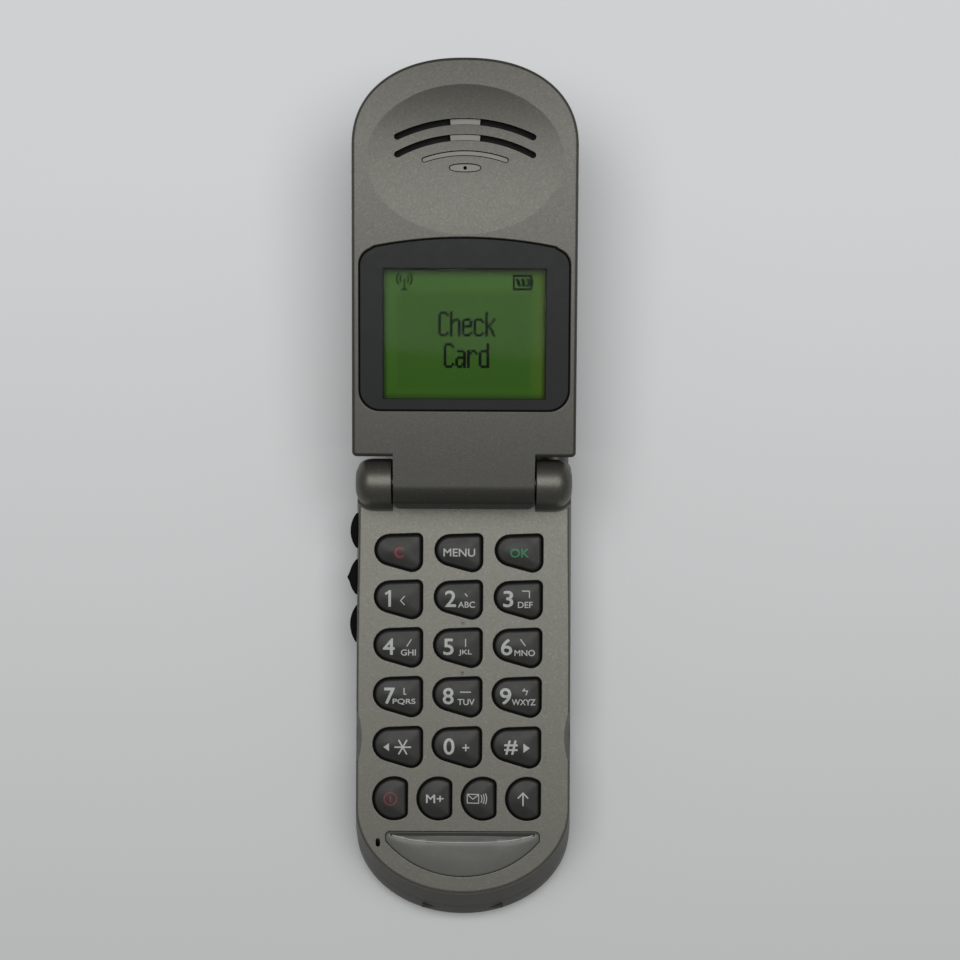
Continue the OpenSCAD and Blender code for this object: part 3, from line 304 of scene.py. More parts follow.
class Shades:
    def __init__(self, name):
        self.material = bpy.data.materials.new(name)
        self.material.use_nodes = True
        self.tree = self.material.node_tree
        self.shader = self.tree.nodes["Principled BSDF"]
        self.place = self.node("ShaderNodeTexCoord").outputs["Object"]

    def node(self, kind, inputs={}, **settings):
        return addNode(self.tree, kind, inputs, **settings)

    # feeds the inputs of the shader
    def shade(self, inputs):
        for key, value in inputs.items():
            feed(self.tree, self.shader.inputs[key], value)

    def noise(self, scale, detail=2.0, stretch=None):
        place = self.place
        if stretch:
            place = self.node("ShaderNodeMapping", {"Vector": place, "Scale": stretch}).outputs["Vector"]
        inputs = {"Vector": place, "Scale": scale, "Detail": detail, "Roughness": 0.5}
        return self.node("ShaderNodeTexNoise", inputs).outputs["Fac"]

    def cells(self, scale):
        made = self.node("ShaderNodeTexVoronoi", {"Vector": self.place, "Scale": scale})
        return self.node("ShaderNodeSeparateColor", {"Color": made.outputs["Color"]}).outputs["Red"]

    def ramp(self, value, low, high, out0=0.0, out1=1.0):
        inputs = {"Value": value, "From Min": low, "From Max": high, "To Min": out0, "To Max": out1}
        return self.node("ShaderNodeMapRange", inputs).outputs["Result"]

    # noise as a share from 0 to 1, or between two values
    def drift(self, scale, detail, out0=0.0, out1=1.0):
        return self.ramp(self.noise(scale, detail), 0.3, 0.7, out0, out1)

    def blend(self, factor, a, b):
        a, b = (side if isinstance(side, bpy.types.NodeSocket) else (*side, 1) for side in (a, b))
        return self.node("ShaderNodeMix", {0: factor, 6: a, 7: b}, data_type="RGBA").outputs[2]

    def split(self, vector):
        return self.node("ShaderNodeSeparateXYZ", {0: vector}).outputs

    def relief(self, height, strength, distance):
        inputs = {"Height": height, "Strength": strength, "Distance": distance}
        self.shade({"Normal": self.node("ShaderNodeBump", inputs).outputs["Normal"]})


def tone(red, green, blue):
    return tuple(c / 255 / 12.92 if c <= 10 else ((c / 255 + 0.055) / 1.055) ** 2.4 for c in (red, green, blue))


# metallic paint: small bright and dark flakes, broad drift, faint orange peel; where low is under 1, painted
# shade darkens it towards the hinge and the far end
def flakePaint(name, settings):
    s = Shades(name)
    colour = s.blend(s.ramp(s.cells(settings["flakeScale"]), 0.0, 1.0), settings["dark"], settings["light"])
    sparse = s.ramp(s.cells(settings["flakeScale"] * 0.62), 0.9, 0.97)
    colour = s.blend(s.blend(sparse, (0, 0, 0), settings["sparkle"]), colour, settings["glint"])
    shaded = s.blend(settings["drift"], colour, settings["shade"])
    colour = s.blend(s.drift(settings["driftScale"], 4), shaded, colour)
    # painted shade: darkest near the hinge (low), fading out by 50 mm, and darker again past 64 mm (far)
    if settings["low"] < 1:
        along = s.split(s.place)["Y"]
        colour = s.blend(s.ramp(along, 0.004, 0.05, settings["low"], 1), (0, 0, 0), colour)
        colour = s.blend(s.ramp(along, 0.064, 0.077, 1, settings["far"]), (0, 0, 0), colour)
    s.shade({"Base Color": colour, "Metallic": settings["metallic"],
             "Roughness": s.drift(1900, 3, settings["rough"] - 0.02, settings["rough"] + 0.03)})
    s.relief(s.noise(2600), 0.25, 0.00003)
    return s.material


def scaled(colour, share):
    return tuple(c * share for c in colour)


# moulded plastic or rubber: slight colour drift, fine texture
def moulded(name, colour, rough, grain=3200, strength=0.2, spread=0.12, coat=0.0, specular=0.5):
    s = Shades(name)
    s.shade({"Base Color": s.blend(s.drift(220, 4), scaled(colour, 1 - spread), scaled(colour, 1 + spread)),
             "Roughness": s.drift(600, 3, rough - 0.04, rough + 0.05), "Coat Weight": coat,
             "Coat Roughness": 0.08, "Specular IOR Level": specular})
    s.relief(s.noise(grain), strength, 0.00002)
    return s.material


def brushed(name, colour, rough, stretch=(1, 30, 1)):
    s = Shades(name)
    streaks = s.noise(900, 3, stretch)
    s.shade({"Base Color": s.blend(s.ramp(streaks, 0.3, 0.7), scaled(colour, 0.9), colour), "Metallic": 1.0,
             "Roughness": s.ramp(streaks, 0.3, 0.7, rough - 0.06, rough + 0.08)})
    s.relief(streaks, 0.15, 0.00002)
    return s.material


def printed(name, colour):
    s = Shades(name)
    s.shade({"Base Color": s.blend(s.ramp(s.noise(2500), 0.35, 0.65), scaled(colour, 0.86), colour),
             "Roughness": 0.55})
    return s.material


bodyPaintSettings = dict(light=tone(107, 106, 99), dark=tone(97, 96, 89), glint=tone(128, 127, 121),
                         sparkle=(0.35, 0.35, 0.35), shade=tone(97, 95, 87), drift=0.22, driftScale=24,
                         flakeScale=6000, metallic=0.65, rough=0.4, low=1.0)
bodyPaint = flakePaint("bodyPaint", bodyPaintSettings)
# the lid's paint is darker than the body's, partly as painted shade, and carries the painted shade near the
# hinge and the far end
lidPaintWithPaintedShade = flakePaint("lidPaintWithPaintedShade", dict(bodyPaintSettings, light=tone(91, 90, 84), dark=tone(81, 80, 75),
                                       glint=tone(106, 105, 99), shade=tone(83, 81, 75), low=0.68,
                                       far=0.66))
# darker paint for the back and the knuckles: partly the paint's own tone, partly painted shade
backPaintPartlyShade = flakePaint("backPaintPartlyShade", dict(bodyPaintSettings, light=tone(91, 90, 84), dark=tone(82, 81, 75),
                                         glint=tone(110, 109, 103), shade=tone(82, 80, 73)))
# much darker paint for the side walls, chin wall and scoops: partly painted shade
wallPaintPartlyShade = flakePaint("wallPaintPartlyShade", dict(bodyPaintSettings, light=tone(51, 48, 42), dark=tone(45, 42, 37),
                                         glint=tone(63, 59, 53), shade=tone(45, 42, 36)))
# near-black for the walls of wells and holes and the key flanges: painted shade
wellShadeBlack = moulded("wellShadeBlack", (0.006, 0.006, 0.006), 0.7, specular=0.15)
keyPlastic = moulded("keyPlastic", tone(42, 42, 40), 0.42, grain=4200, strength=0.3, specular=0.28)
buttonRubber = moulded("buttonRubber", tone(11, 12, 11), 0.75, specular=0.06)
badgePlastic = moulded("badgePlastic", tone(97, 97, 92), 0.3, spread=0.05, strength=0.08, specular=0.35)
# the badge facet's darker tone is painted shade, and the pale ridge line is a painted highlight
badgeFacetShade = moulded("badgeFacetShade", tone(58, 58, 52), 0.3, spread=0.05, strength=0.08, specular=0.35)
badgeRidgeHighlight = moulded("badgeRidgeHighlight", tone(158, 160, 156), 0.3, spread=0.04)
siliconeGrey = moulded("siliconeGrey", tone(60, 60, 60), 0.6)
clearFilm = moulded("clearFilm", (0.7, 0.72, 0.74), 0.2, coat=0.3)
boardGreen = moulded("boardGreen", (0.02, 0.12, 0.05), 0.45, grain=1500)
tinPlate = brushed("tinPlate", (0.7, 0.7, 0.68), 0.35)
hingeSteel = brushed("hingeSteel", (0.16, 0.155, 0.15), 0.4, stretch=(1, 40, 40))
screwSteel = brushed("screwSteel", (0.28, 0.27, 0.26), 0.38, stretch=(1, 1, 20))
tungsten = brushed("tungsten", (0.32, 0.32, 0.34), 0.45)
goldContact = brushed("goldContact", (0.85, 0.6, 0.22), 0.25)
batteryCase = moulded("batteryCase", tone(38, 38, 40), 0.5)
blackPlastic = moulded("blackPlastic", tone(24, 24, 25), 0.42)
antennaPlastic = moulded("antennaPlastic", tone(46, 46, 47), 0.45)
feltBlack = moulded("feltBlack", (0.008, 0.008, 0.008), 0.95, grain=9000, strength=0.9)
ribbonCopper = moulded("ribbonCopper", (0.62, 0.28, 0.08), 0.35, coat=0.4)
lensBorder = moulded("lensBorder", tone(27, 29, 28), 0.35, spread=0.06, strength=0.05, specular=0.16)
legendGrey = printed("legendGrey", tone(172, 175, 169))
legendRed = printed("legendRed", tone(126, 26, 42))
legendDim = printed("legendDim", tone(104, 34, 44))
legendGreen = printed("legendGreen", tone(22, 112, 76))
pixelInk = moulded("pixelInk", tone(2, 12, 3), 0.5, spread=0.1, specular=0.05)
recessPaint = moulded("recessPaint", tone(128, 126, 119), 0.5, spread=0.04)
# dark walls of the lid's recesses: painted shade in the crevices
recessEdgeShade = moulded("recessEdgeShade", tone(34, 31, 28), 0.7, specular=0.2)

s = Shades("paneClear")
s.shade({"Base Color": (0.01, 0.012, 0.01, 1), "Roughness": s.drift(140, 3, 0.03, 0.07), "Alpha": 0.06,
         "IOR": 1.49})
paneClear = s.material
print("materials made")


# ---- camera, lights, floor ----

view = dict(place=(0.00305, 0.00061, 0.3875), roll=0.28, focal=1936 / 960 * 36)
camera = addObject("camera", bpy.data.cameras.new("camera"))
camera.location = view["place"]
camera.rotation_euler = (0, 0, radians(view["roll"]))
camera.data.sensor_width = 36
camera.data.lens = view["focal"]
camera.data.clip_start = 0.01
bpy.context.scene.camera = camera


lights = dict(main=9.1, place=(0.01, 0.2, 0.97), size=(1.3, 0.66), world=0.14)
lamp = addObject("mainLamp", bpy.data.lights.new("mainLamp", "AREA"))
lamp.location = lights["place"]
lamp.rotation_euler = Vector(lights["place"]).to_track_quat("Z", "Y").to_euler()
lamp.data.shape = "RECTANGLE"
lamp.data.size, lamp.data.size_y = lights["size"]
lamp.data.energy = lights["main"]

world = bpy.data.worlds.new("studio")
bpy.context.scene.world = world
world.use_nodes = True
tree = world.node_tree
sky = tree.nodes["Background"]
feed(tree, sky.inputs["Color"], (0.97, 1, 1, 1))
feed(tree, sky.inputs["Strength"], lights["world"])
backdrop = addNode(tree, "ShaderNodeBackground", {"Color": (*tone(201, 203, 205), 1)})
ray = addNode(tree, "ShaderNodeLightPath").outputs
either = addNode(tree, "ShaderNodeMath", {0: ray["Is Camera Ray"], 1: ray["Is Transmission Ray"]},
                 operation="MAXIMUM")
chosen = addNode(tree, "ShaderNodeMixShader", {0: either.outputs[0], 1: sky.outputs[0], 2: backdrop.outputs[0]})
feed(tree, tree.nodes["World Output"].inputs[0], chosen.outputs[0])

floorBm = bmesh.new()
bmesh.ops.create_grid(floorBm, x_segments=2, y_segments=2, size=3)
bmesh.ops.translate(floorBm, vec=(0, 0, -0.0002), verts=floorBm.verts)
floor = addObject("floor", meshOf(floorBm, "floor"))
s = Shades("floorPaper")
# painted falloff of the lamp's light: the paper darker towards the bottom of the view
paperPaintedFalloff = s.blend(s.ramp(s.split(s.place)["Y"], -0.1, 0.06), tone(203, 204, 204), tone(224, 226, 227))
s.shade({"Base Color": s.blend(s.drift(6, 3, 0, 0.05), paperPaintedFalloff, tone(190, 190, 190)), "Roughness": 0.9,
         "Specular IOR Level": 0.1})
floor.data.materials.append(s.material)
print("camera, light and floor made")


# ---- keys' layout ----

keys = dict(rowFirst=13.5, lowMargin=18.35, rowGrowth=0.22, rowGap=1.58, colMargin=3.66, colMarginRight=5.62,
            colDraw=0.055, wellWide=9.4, wideStep=0.09, highStep=0.15, lowSide=3.47, lowSideRight=5.88,
            lowWide=6.9, lowRadius=4.23, lowCorner=1.15, gap=0.42, rise=0.7, flange=10.43, flangeThick=0.57,
            flangeReach=0.1, rimFlare=0.14, capBevel=0.5, dome=0.42, domeReach=3.4, gridX=5, gridY=4.5,
            gridStep=0.55, plunger=1.2)
keyNames = ["key_" + word for word in
            "clear menu ok 1 2 3 4 5 6 7 8 9 star 0 hash power memory message up".split()]
lowRow = body["faceLong"] - keys["lowMargin"]
rowPitch = (lowRow - keys["rowFirst"] - keys["rowGrowth"] * 10) / 5
wellHigh = rowPitch - keys["rowGap"]
colPitch = (2 * body["halfWide"] - keys["colMargin"] - keys["colMarginRight"] - keys["wellWide"]) / 2
lowPitch = (2 * body["halfWide"] - keys["lowSide"] - keys["lowSideRight"] - keys["lowWide"]) / 3


def rowY(row):
    return -(keys["rowFirst"] + row * rowPitch + row * (row - 1) / 2 * keys["rowGrowth"])


def keySpot(k):
    if k < 15:
        return (-body["halfWide"] + keys["colMargin"] + keys["wellWide"] / 2
                + (k % 3) * (colPitch - keys["colDraw"] * (k // 3)), rowY(k // 3))
    return -body["halfWide"] + keys["lowSide"] + keys["lowWide"] / 2 + lowPitch * (k - 15), -lowRow


def keyOutline(k, grow):
    if k < 15:
        w = keys["wellWide"] + keys["wideStep"] * (k // 3)
        h = wellHigh + keys["highStep"] * (k // 3)
        points = roundHull([(-w / 2 + 0.4065 * h, 0.066 * h, 0.4065 * h),
                            (w / 2 - 0.278 * h, -h / 2 + 0.278 * h, 0.278 * h),
                            (w / 2 - 0.15 * h, h / 2 - 0.15 * h, 0.15 * h)], grow)
    else:
        radius, corner = keys["lowRadius"], keys["lowCorner"]
        c = -keys["lowWide"] / 2 + radius
        x = keys["lowWide"] / 2 - corner - c
        y = sqrt((radius - corner) ** 2 - x * x)
        a = degrees(atan2(y, x))
        points = (arc((c, 0), radius + grow, a, 360 - a, 36) + arc((c + x, -y), corner + grow, -a, 0, 8)
                  + arc((c + x, y), corner + grow, 0, a, 8))
    cx, cy = keySpot(k)
    return [(x + cx, y + cy) for x, y in points]


# ---- front housing ----

badge = dict(end=76.2, top=67.6, half=14.9, side=1.7, seat=0.9, thick=1.4, gap=0.1)


def badgeOutline(grow):
    sag = badge["end"] - badge["top"] - badge["side"]
    radius = (badge["half"] ** 2 + sag ** 2) / (2 * sag)
    a = degrees(asin(badge["half"] / radius))
    return (arc((0, -badge["end"] + radius), radius + grow, -90 - a, -90 + a, 40)
            + arc((badge["half"] - 0.9, -badge["top"] - 0.9), 0.9 + grow, 20, 90, 8)
            + arc((-badge["half"] + 0.9, -badge["top"] - 0.9), 0.9 + grow, 90, 160, 8))


# a hole cut down from a face, its rim flared by a small round; its walls below the flare take the given slot,
# by default the near-black painted shade
def flaredHole(outline, bottom, top, flare, steps=4, slot=1):
    levels = [(bottom, outline(0)), (top - flare, outline(0))]
    for i in range(1, steps + 1):
        a = pi / 2 * i / steps
        levels.append((top - flare + flare * sin(a), outline(flare * (1 - cos(a)))))
    levels.append((top + 1, outline(flare)))
    return painted(drawn(levels), slot, lambda c: c.z < top - flare)


front = dict(notchDeep=1.3, notchLong=12.2, notchY=49.2, filletHigh=1.1,
             screws=[(-9, -5.6), (9, -5.6), (-10.6, -74.3), (10.6, -74.3)], bossRadius=2.0, screwRadius=0.8,
             pips=[(-0.1, -27.2), (-0.2, -36.8)], buttonSlots=[(6, 12.7), (15, 21.75), (24, 31)],
             buttonLow=7.45, buttonHigh=11.05, buttonGap=0.15, lean=0.3, leanHinge=0.3, leanFrom=34,
             antennaX=17.1, antennaZ=5.0, collar=3.44, micSlot=(-16.8, -70.5, 0.8, 1.6))
faceHigh = body["faceHigh"]


# the sides lean in a little, and more at the hinge end
def leaning(points):
    out = []
    for x, y in points:
        t = min(max((y + front["leanFrom"]) / (front["leanFrom"] - 6), 0), 1)
        out.append((x * (1 - (front["lean"] + front["leanHinge"] * t * t * (3 - 2 * t)) / body["halfWide"]), y))
    return out


shell = drawn([(body["parting"], bodyOutline(body["parting"])), (faceHigh, leaning(bodyOutline(faceHigh)))])
bevelWhere(shell, lambda c: c.z > faceHigh - 0.01, body["rimBevel"], 5)
bevelWhere(shell, lambda c: c.z < body["parting"] + 0.01, 0.12, 1)
# the walls below the rim take the darker wall paint (slot 2), partly painted shade
painted(shell, 2, lambda c: c.z < faceHigh - body["rimBevel"])

# a knuckle: an arch along the hinge axis, its outer end rounded
inner, outer = hinge["knuckleIn"], body["halfWide"] - 0.4
back = body["headLong"] - 0.02
arch = ([(-hinge["barrelRadius"], 9.6)] + arc((0, hinge["high"]), hinge["barrelRadius"], 180, 0, 30)
        + [(back, 9.6)])
knuckle = drawnAcross(inner, outer, arch)
bevelWhere(knuckle, lambda c: c.x > outer - 0.01 and c.z > 9.5, hinge["endRound"], 9)
bevelWhere(knuckle, lambda c: c.x < inner + 0.01 and c.z > 9.5, 0.25, 2)


def footOutline(grow):
    end = outer - hinge["endRound"]
    points = ([(inner + 0.05, -hinge["barrelRadius"] - grow)]
              + arc((end, -hinge["barrelRadius"] + hinge["endRound"]), hinge["endRound"] + grow, -90, 0, 10)
              + [(end, 2.0), (inner + 0.05, 2.0)])
    return [(min(x, outer), y) for x, y in points]


high = front["filletHigh"]
foot = drawn([(10.2, footOutline(high))] + [(faceHigh + high - high * cos(radians(a)),
             footOutline(high - high * sin(radians(a)) - 0.03)) for a in range(0, 91, 15)])
# the knuckles take the darker back paint (slot 3), as painted shade
painted(knuckle, 3)
shell = combine(shell, [knuckle, mirrored(knuckle), foot, mirrored(foot)], "UNION")

notchRadius = (front["notchLong"] ** 2 / 4 + front["notchDeep"] ** 2) / (2 * front["notchDeep"])
notchX = body["halfWide"] - front["notchDeep"] + notchRadius
# each notch is a slanted scoop, deepest at the face, in the darker wall paint that is partly painted shade
notches = together([drawn([(z, arc((side * notchX, -front["notchY"]), notchRadius + reach, 0, 357, 119))
                           for z, reach in ((6.0, -1.5), (7.4, -1.05), (9.0, -0.7), (10.8, -0.3), (12.3, 0),
                                            (12.5, 0.08), (13.5, 0.08))], 2) for side in (-1, 1)])

# the room inside, with the screw bosses left standing
inset = body["wall"]
roomEnd = chinSlope * (faceHigh - body["ceiling"])
roomOutline = longOutline(body["halfWide"] - inset, body["headLong"] - inset,
                          -(body["faceLong"] - inset + roomEnd - 0.1), body["chinCurve"] - inset, 2, 0.9)
room = prism(roomOutline, body["parting"] - 0.5, body["ceiling"], 1)
bosses = rodsAt(front["screws"], 6, 12, front["bossRadius"])
cheeks = together([box(side * 20.5 - 2.2, side * 20.5 + 2.2, -front["notchY"] - 7.1, -front["notchY"] + 7.1,
                       0, 13) for side in (-1, 1)])
room = combine(room, [bosses, cheeks])

wells = together([flaredHole(lambda grow, k=k: keyOutline(k, grow), body["ceiling"] - 0.5, faceHigh,
                             keys["rimFlare"]) for k in range(19)])
badgeSeat = flaredHole(lambda grow: badgeOutline(badge["gap"] + grow), faceHigh - badge["seat"], faceHigh, 0.12)
x, y, wide, long = front["micSlot"]
micHole = flaredHole(lambda grow: longOutline(wide / 2 + grow, -long / 2 - grow, long / 2 + grow,
                                              wide / 2 + grow, 2, wide / 2 - 0.02 + grow, 16),
                     body["ceiling"] - 0.5, faceHigh, 0.08)
bmesh.ops.translate(micHole, vec=(x + wide / 2, y + long / 2, 0), verts=micHole.verts)
buttonHoles = together([box(-21.5, -19.2, -y1 - front["buttonGap"], -y0 + front["buttonGap"],
                            front["buttonLow"] - front["buttonGap"], front["buttonHigh"] + front["buttonGap"],
                            slot=1) for y0, y1 in front["buttonSlots"]])
bores = together([rod((side * 13.2, 0, hinge["high"]), (side * 18.0, 0, hinge["high"]), 1.75, slot=1)
                  for side in (-1, 1)] + [rodsAt(front["screws"], 6, 9.8, front["screwRadius"], 1)])


# a place on the antenna's axis
def antennaSpot(y):
    return front["antennaX"], y, front["antennaZ"]


sleeveWay = rod(antennaSpot(-0.5), antennaSpot(5.2), front["collar"], slot=1)
jackWay = box(-19.7, -13.7, -6.9, 5.1, 6.5, 7.19, slot=1)
reliefs = together([drawn([(faceHigh - 0.07, bandOutline((cx - 7, cy), 12.75, 12.95, -14, 16)),
                           (faceHigh + 0.5, bandOutline((cx - 7, cy), 11.0, 13.05, -15, 17))])
                    for cx, cy in (keySpot(k) for k in (5, 8, 11, 14))])
shell = combine(shell, [room, notches, wells, badgeSeat, micHole, buttonHoles, bores, sleeveWay, jackWay,
                        reliefs])
# slots: body paint; near-black painted shade in wells and holes; wall paint, partly painted shade; darker back
# paint on the knuckles, as painted shade
settle(shell, "frontHousing", "body", [bodyPaint, wellShadeBlack, wallPaintPartlyShade, backPaintPartlyShade],
       replaces=["front_housing"])

pipShape = [(0, 0.08), (0.1, 0.08), (0.2, 0.15), (0.28, 0.12), (0.36, -0.1), (0, -0.1)]
pips = together([turned(pipShape, (x, y, faceHigh), (x, y, faceHigh + 1), 20) for x, y in front["pips"]])
settle(pips, "tactilePips", "body", [bodyPaint], crisp=60)
print("front housing made")


# ---- chin badge ----

badgeBody = drawn([(faceHigh - badge["seat"], badgeOutline(0)), (faceHigh - 0.05, badgeOutline(0)),
                   (faceHigh + 0.12, badgeOutline(-0.12)), (faceHigh + 0.24, badgeOutline(-0.34)),
                   (faceHigh + 0.32, badgeOutline(-0.7))])
topZ = faceHigh + 0.32


# cuts a top face into a grid, so that it can be domed
def gridTop(bm, isTop, x0, x1, y0, y1, step):
    for axis, low, highEnd in ((0, x0, x1), (1, y0, y1)):
        at = low + step
        while at < highEnd - step * 0.3:
            faces = [f for f in bm.faces if isTop(f)]
            geom = list({v for f in faces for v in f.verts}) + list({e for f in faces for e in f.edges}) + faces
            normal = Vector((1, 0, 0)) if axis == 0 else Vector((0, 1, 0))
            bmesh.ops.bisect_plane(bm, geom=geom, dist=1e-4, plane_co=normal * at, plane_no=normal)
            at += step


def isBadgeTop(face):
    return face.normal.z > 0.99 and face.calc_center_median().z > topZ - 0.01


gridTop(badgeBody, isBadgeTop, -badge["half"], badge["half"], -badge["end"], -badge["top"], 0.6)
edge = badgeOutline(-0.7)


# the top falls away to the hinge side of a thin ridge that rises to both corners
def ridgeY(x):
    return -badge["top"] - 0.45 - 1.45 * max(1 - abs(x / 13.9) ** 3.2, 0)


def badgeRise(x, y):
    return 0.26 * (1 - (1 - min(distanceTo(edge, x, y) / 2.4, 1)) ** 2)


for vert in badgeBody.verts:
    if vert.co.z > topZ - 0.001:
        x, y = vert.co.x, vert.co.y
        fall = 0.3 * min(max(y - ridgeY(x), 0) / 1.4, 1) ** 0.7
        vert.co.z += max(badgeRise(x, y) - fall, -0.25)
# the facet on the hinge side of the ridge takes the darker badge tone, a painted shade
painted(badgeBody, 1, lambda c: c.z > faceHigh + 0.1 and c.y > ridgeY(c.x) + 0.05)
settle(badgeBody, "chinBadge", "body", [badgePlastic, badgeFacetShade], replaces=["chin_badge"],
       crisp=28)
# a thin pale strip along the ridge: a painted highlight
ridge = [(13.6 * i / 30, ridgeY(13.6 * i / 30)) for i in range(-30, 31)]
ridgeHighlight = drawn([(z, [(x, y - half) for x, y in ridge] + [(x, y + half) for x, y in reversed(ridge)])
                   for z, half in ((0, 0.07), (0.05, 0.05))])
for vert in ridgeHighlight.verts:
    vert.co.z += topZ - 0.02 + badgeRise(vert.co.x, vert.co.y)
settle(ridgeHighlight, "badgeRidgeHighlight", "body", [badgeRidgeHighlight], crisp=60)
print("badge made")


# ---- keys and their legends ----

# the middle of a legend, 0.04 thick, lies just under its cap, so that its top stands out a little
legendLift = -0.008


rimZ = faceHigh + keys["rise"] - keys["dome"]
flangeTop = keys["flange"] + keys["flangeThick"]


# the height of a domed cap, from the distance to the edge of its top
def capHeight(k, x, y):
    reach = min(distanceTo(capEdges[k], x, y) / keys["domeReach"], 1)
    return rimZ + keys["dome"] * (1 - (1 - reach) ** 2)


def isCapTop(face):
    return face.normal.z > 0.99 and face.calc_center_median().z > rimZ - 0.01


capEdges = {}
for k, name in enumerate(keyNames):
    base, wide = keyOutline(k, -keys["gap"]), keyOutline(k, keys["flangeReach"])
    cap = drawn([(keys["flange"], wide), (flangeTop, wide), (flangeTop + 0.01, base), (rimZ, base)])
    bevelWhere(cap, lambda c: c.z > rimZ - 0.001, keys["capBevel"], 5)
    capEdges[k] = keyOutline(k, -keys["gap"] - keys["capBevel"])
    cx, cy = keySpot(k)
    gridTop(cap, isCapTop, cx - keys["gridX"], cx + keys["gridX"], cy - keys["gridY"], cy + keys["gridY"],
            keys["gridStep"])
    for vert in cap.verts:
        if vert.co.z > rimZ - 0.001:
            vert.co.z = capHeight(k, vert.co.x, vert.co.y)
    plunger = rod((cx, cy, 9.98), (cx, cy, keys["flange"] + 0.005), keys["plunger"], 32)
    # the flange and plunger take the near-black painted shade of the wells
    cap = painted(together([cap, plunger]), 1, lambda c: c.z < flangeTop + 0.3)
    settle(cap, "cap." + name, name, [keyPlastic, wellShadeBlack], replaces=[name], crisp=50)


def lettering(text, size):
    curve = bpy.data.curves.new("legend", "FONT")
    curve.body = text
    curve.size = size
    curve.align_x, curve.align_y = "CENTER", "CENTER"
    curve.extrude = 0.02
    holder = addObject("legend", curve)
    bpy.context.view_layer.update()
    mesh = bpy.data.meshes.new_from_object(holder.evaluated_get(bpy.context.evaluated_depsgraph_get()))
    bm = bmesh.new()
    bm.from_mesh(mesh)
    bpy.data.objects.remove(holder)
    bpy.data.curves.remove(curve)
    bpy.data.meshes.remove(mesh)
    bmesh.ops.remove_doubles(bm, verts=bm.verts, dist=1e-5)
    return bm


# text set to a measured width and height about a place
def fitted(text, x, y, wide, high, bold=0.0):
    bm = lettering(text, high * 1.35)
    wide, high = wide - 2 * bold, high - 2 * bold
    xs = [v.co.x for v in bm.verts]
    ys = [v.co.y for v in bm.verts]
    scale = (wide / (max(xs) - min(xs)), high / (max(ys) - min(ys)), 1)
    middle = Vector(((max(xs) + min(xs)) / 2, (max(ys) + min(ys)) / 2, 0))
    bmesh.ops.translate(bm, vec=-middle, verts=bm.verts)
    bmesh.ops.scale(bm, vec=scale, verts=bm.verts)
    bmesh.ops.translate(bm, vec=(x, y, 0), verts=bm.verts)
    copies = [bm]
    for dx, dy in ((-1, 0.4), (1, -0.4), (0.4, 1), (-0.4, -1)) if bold else ():
        copies.append(bm.copy())
        bmesh.ops.translate(copies[-1], vec=(dx * bold, dy * bold, 0.002 * len(copies)), verts=copies[-1].verts)
    return together(copies)


def stroke(x0, y0, x1, y1, width=0.2):
    length = hypot(x1 - x0, y1 - y0) + width * 0.5
    bm = bmesh.new()
    bmesh.ops.create_cube(bm, size=1, matrix=Matrix.Translation(((x0 + x1) / 2, (y0 + y1) / 2, 0))
                          @ Matrix.Rotation(atan2(y1 - y0, x1 - x0), 4, "Z")
                          @ Matrix.Diagonal((length, width, 0.04, 1)))
    return bm


def flat(points):
    return prism(points, -0.02, 0.02)


def bow(x, y, radius, start, end, width=0.2, steps=14):
    return flat(bandOutline((x, y), radius - width / 2, radius + width / 2, start, end, steps))


def digit(text, x, wide=2.1):
    return fitted(text, x, 0.2, wide, 3.2, 0.06)


def letters(text, x, wide):
    return fitted(text, x, -0.92, wide, 1.2, 0.025)


# strokes of one width, each (x0, y0, x1, y1)
def strokes(width, *lines):
    return [stroke(*line, width) for line in lines]


# the three strokes of a star through one middle
def star(x, y, reach, width):
    turns = [(reach * cos(radians(a)), reach * sin(radians(a))) for a in (0, 60, 120)]
    return strokes(width, *((x - dx, y - dy, x + dx, y + dy) for dx, dy in turns))


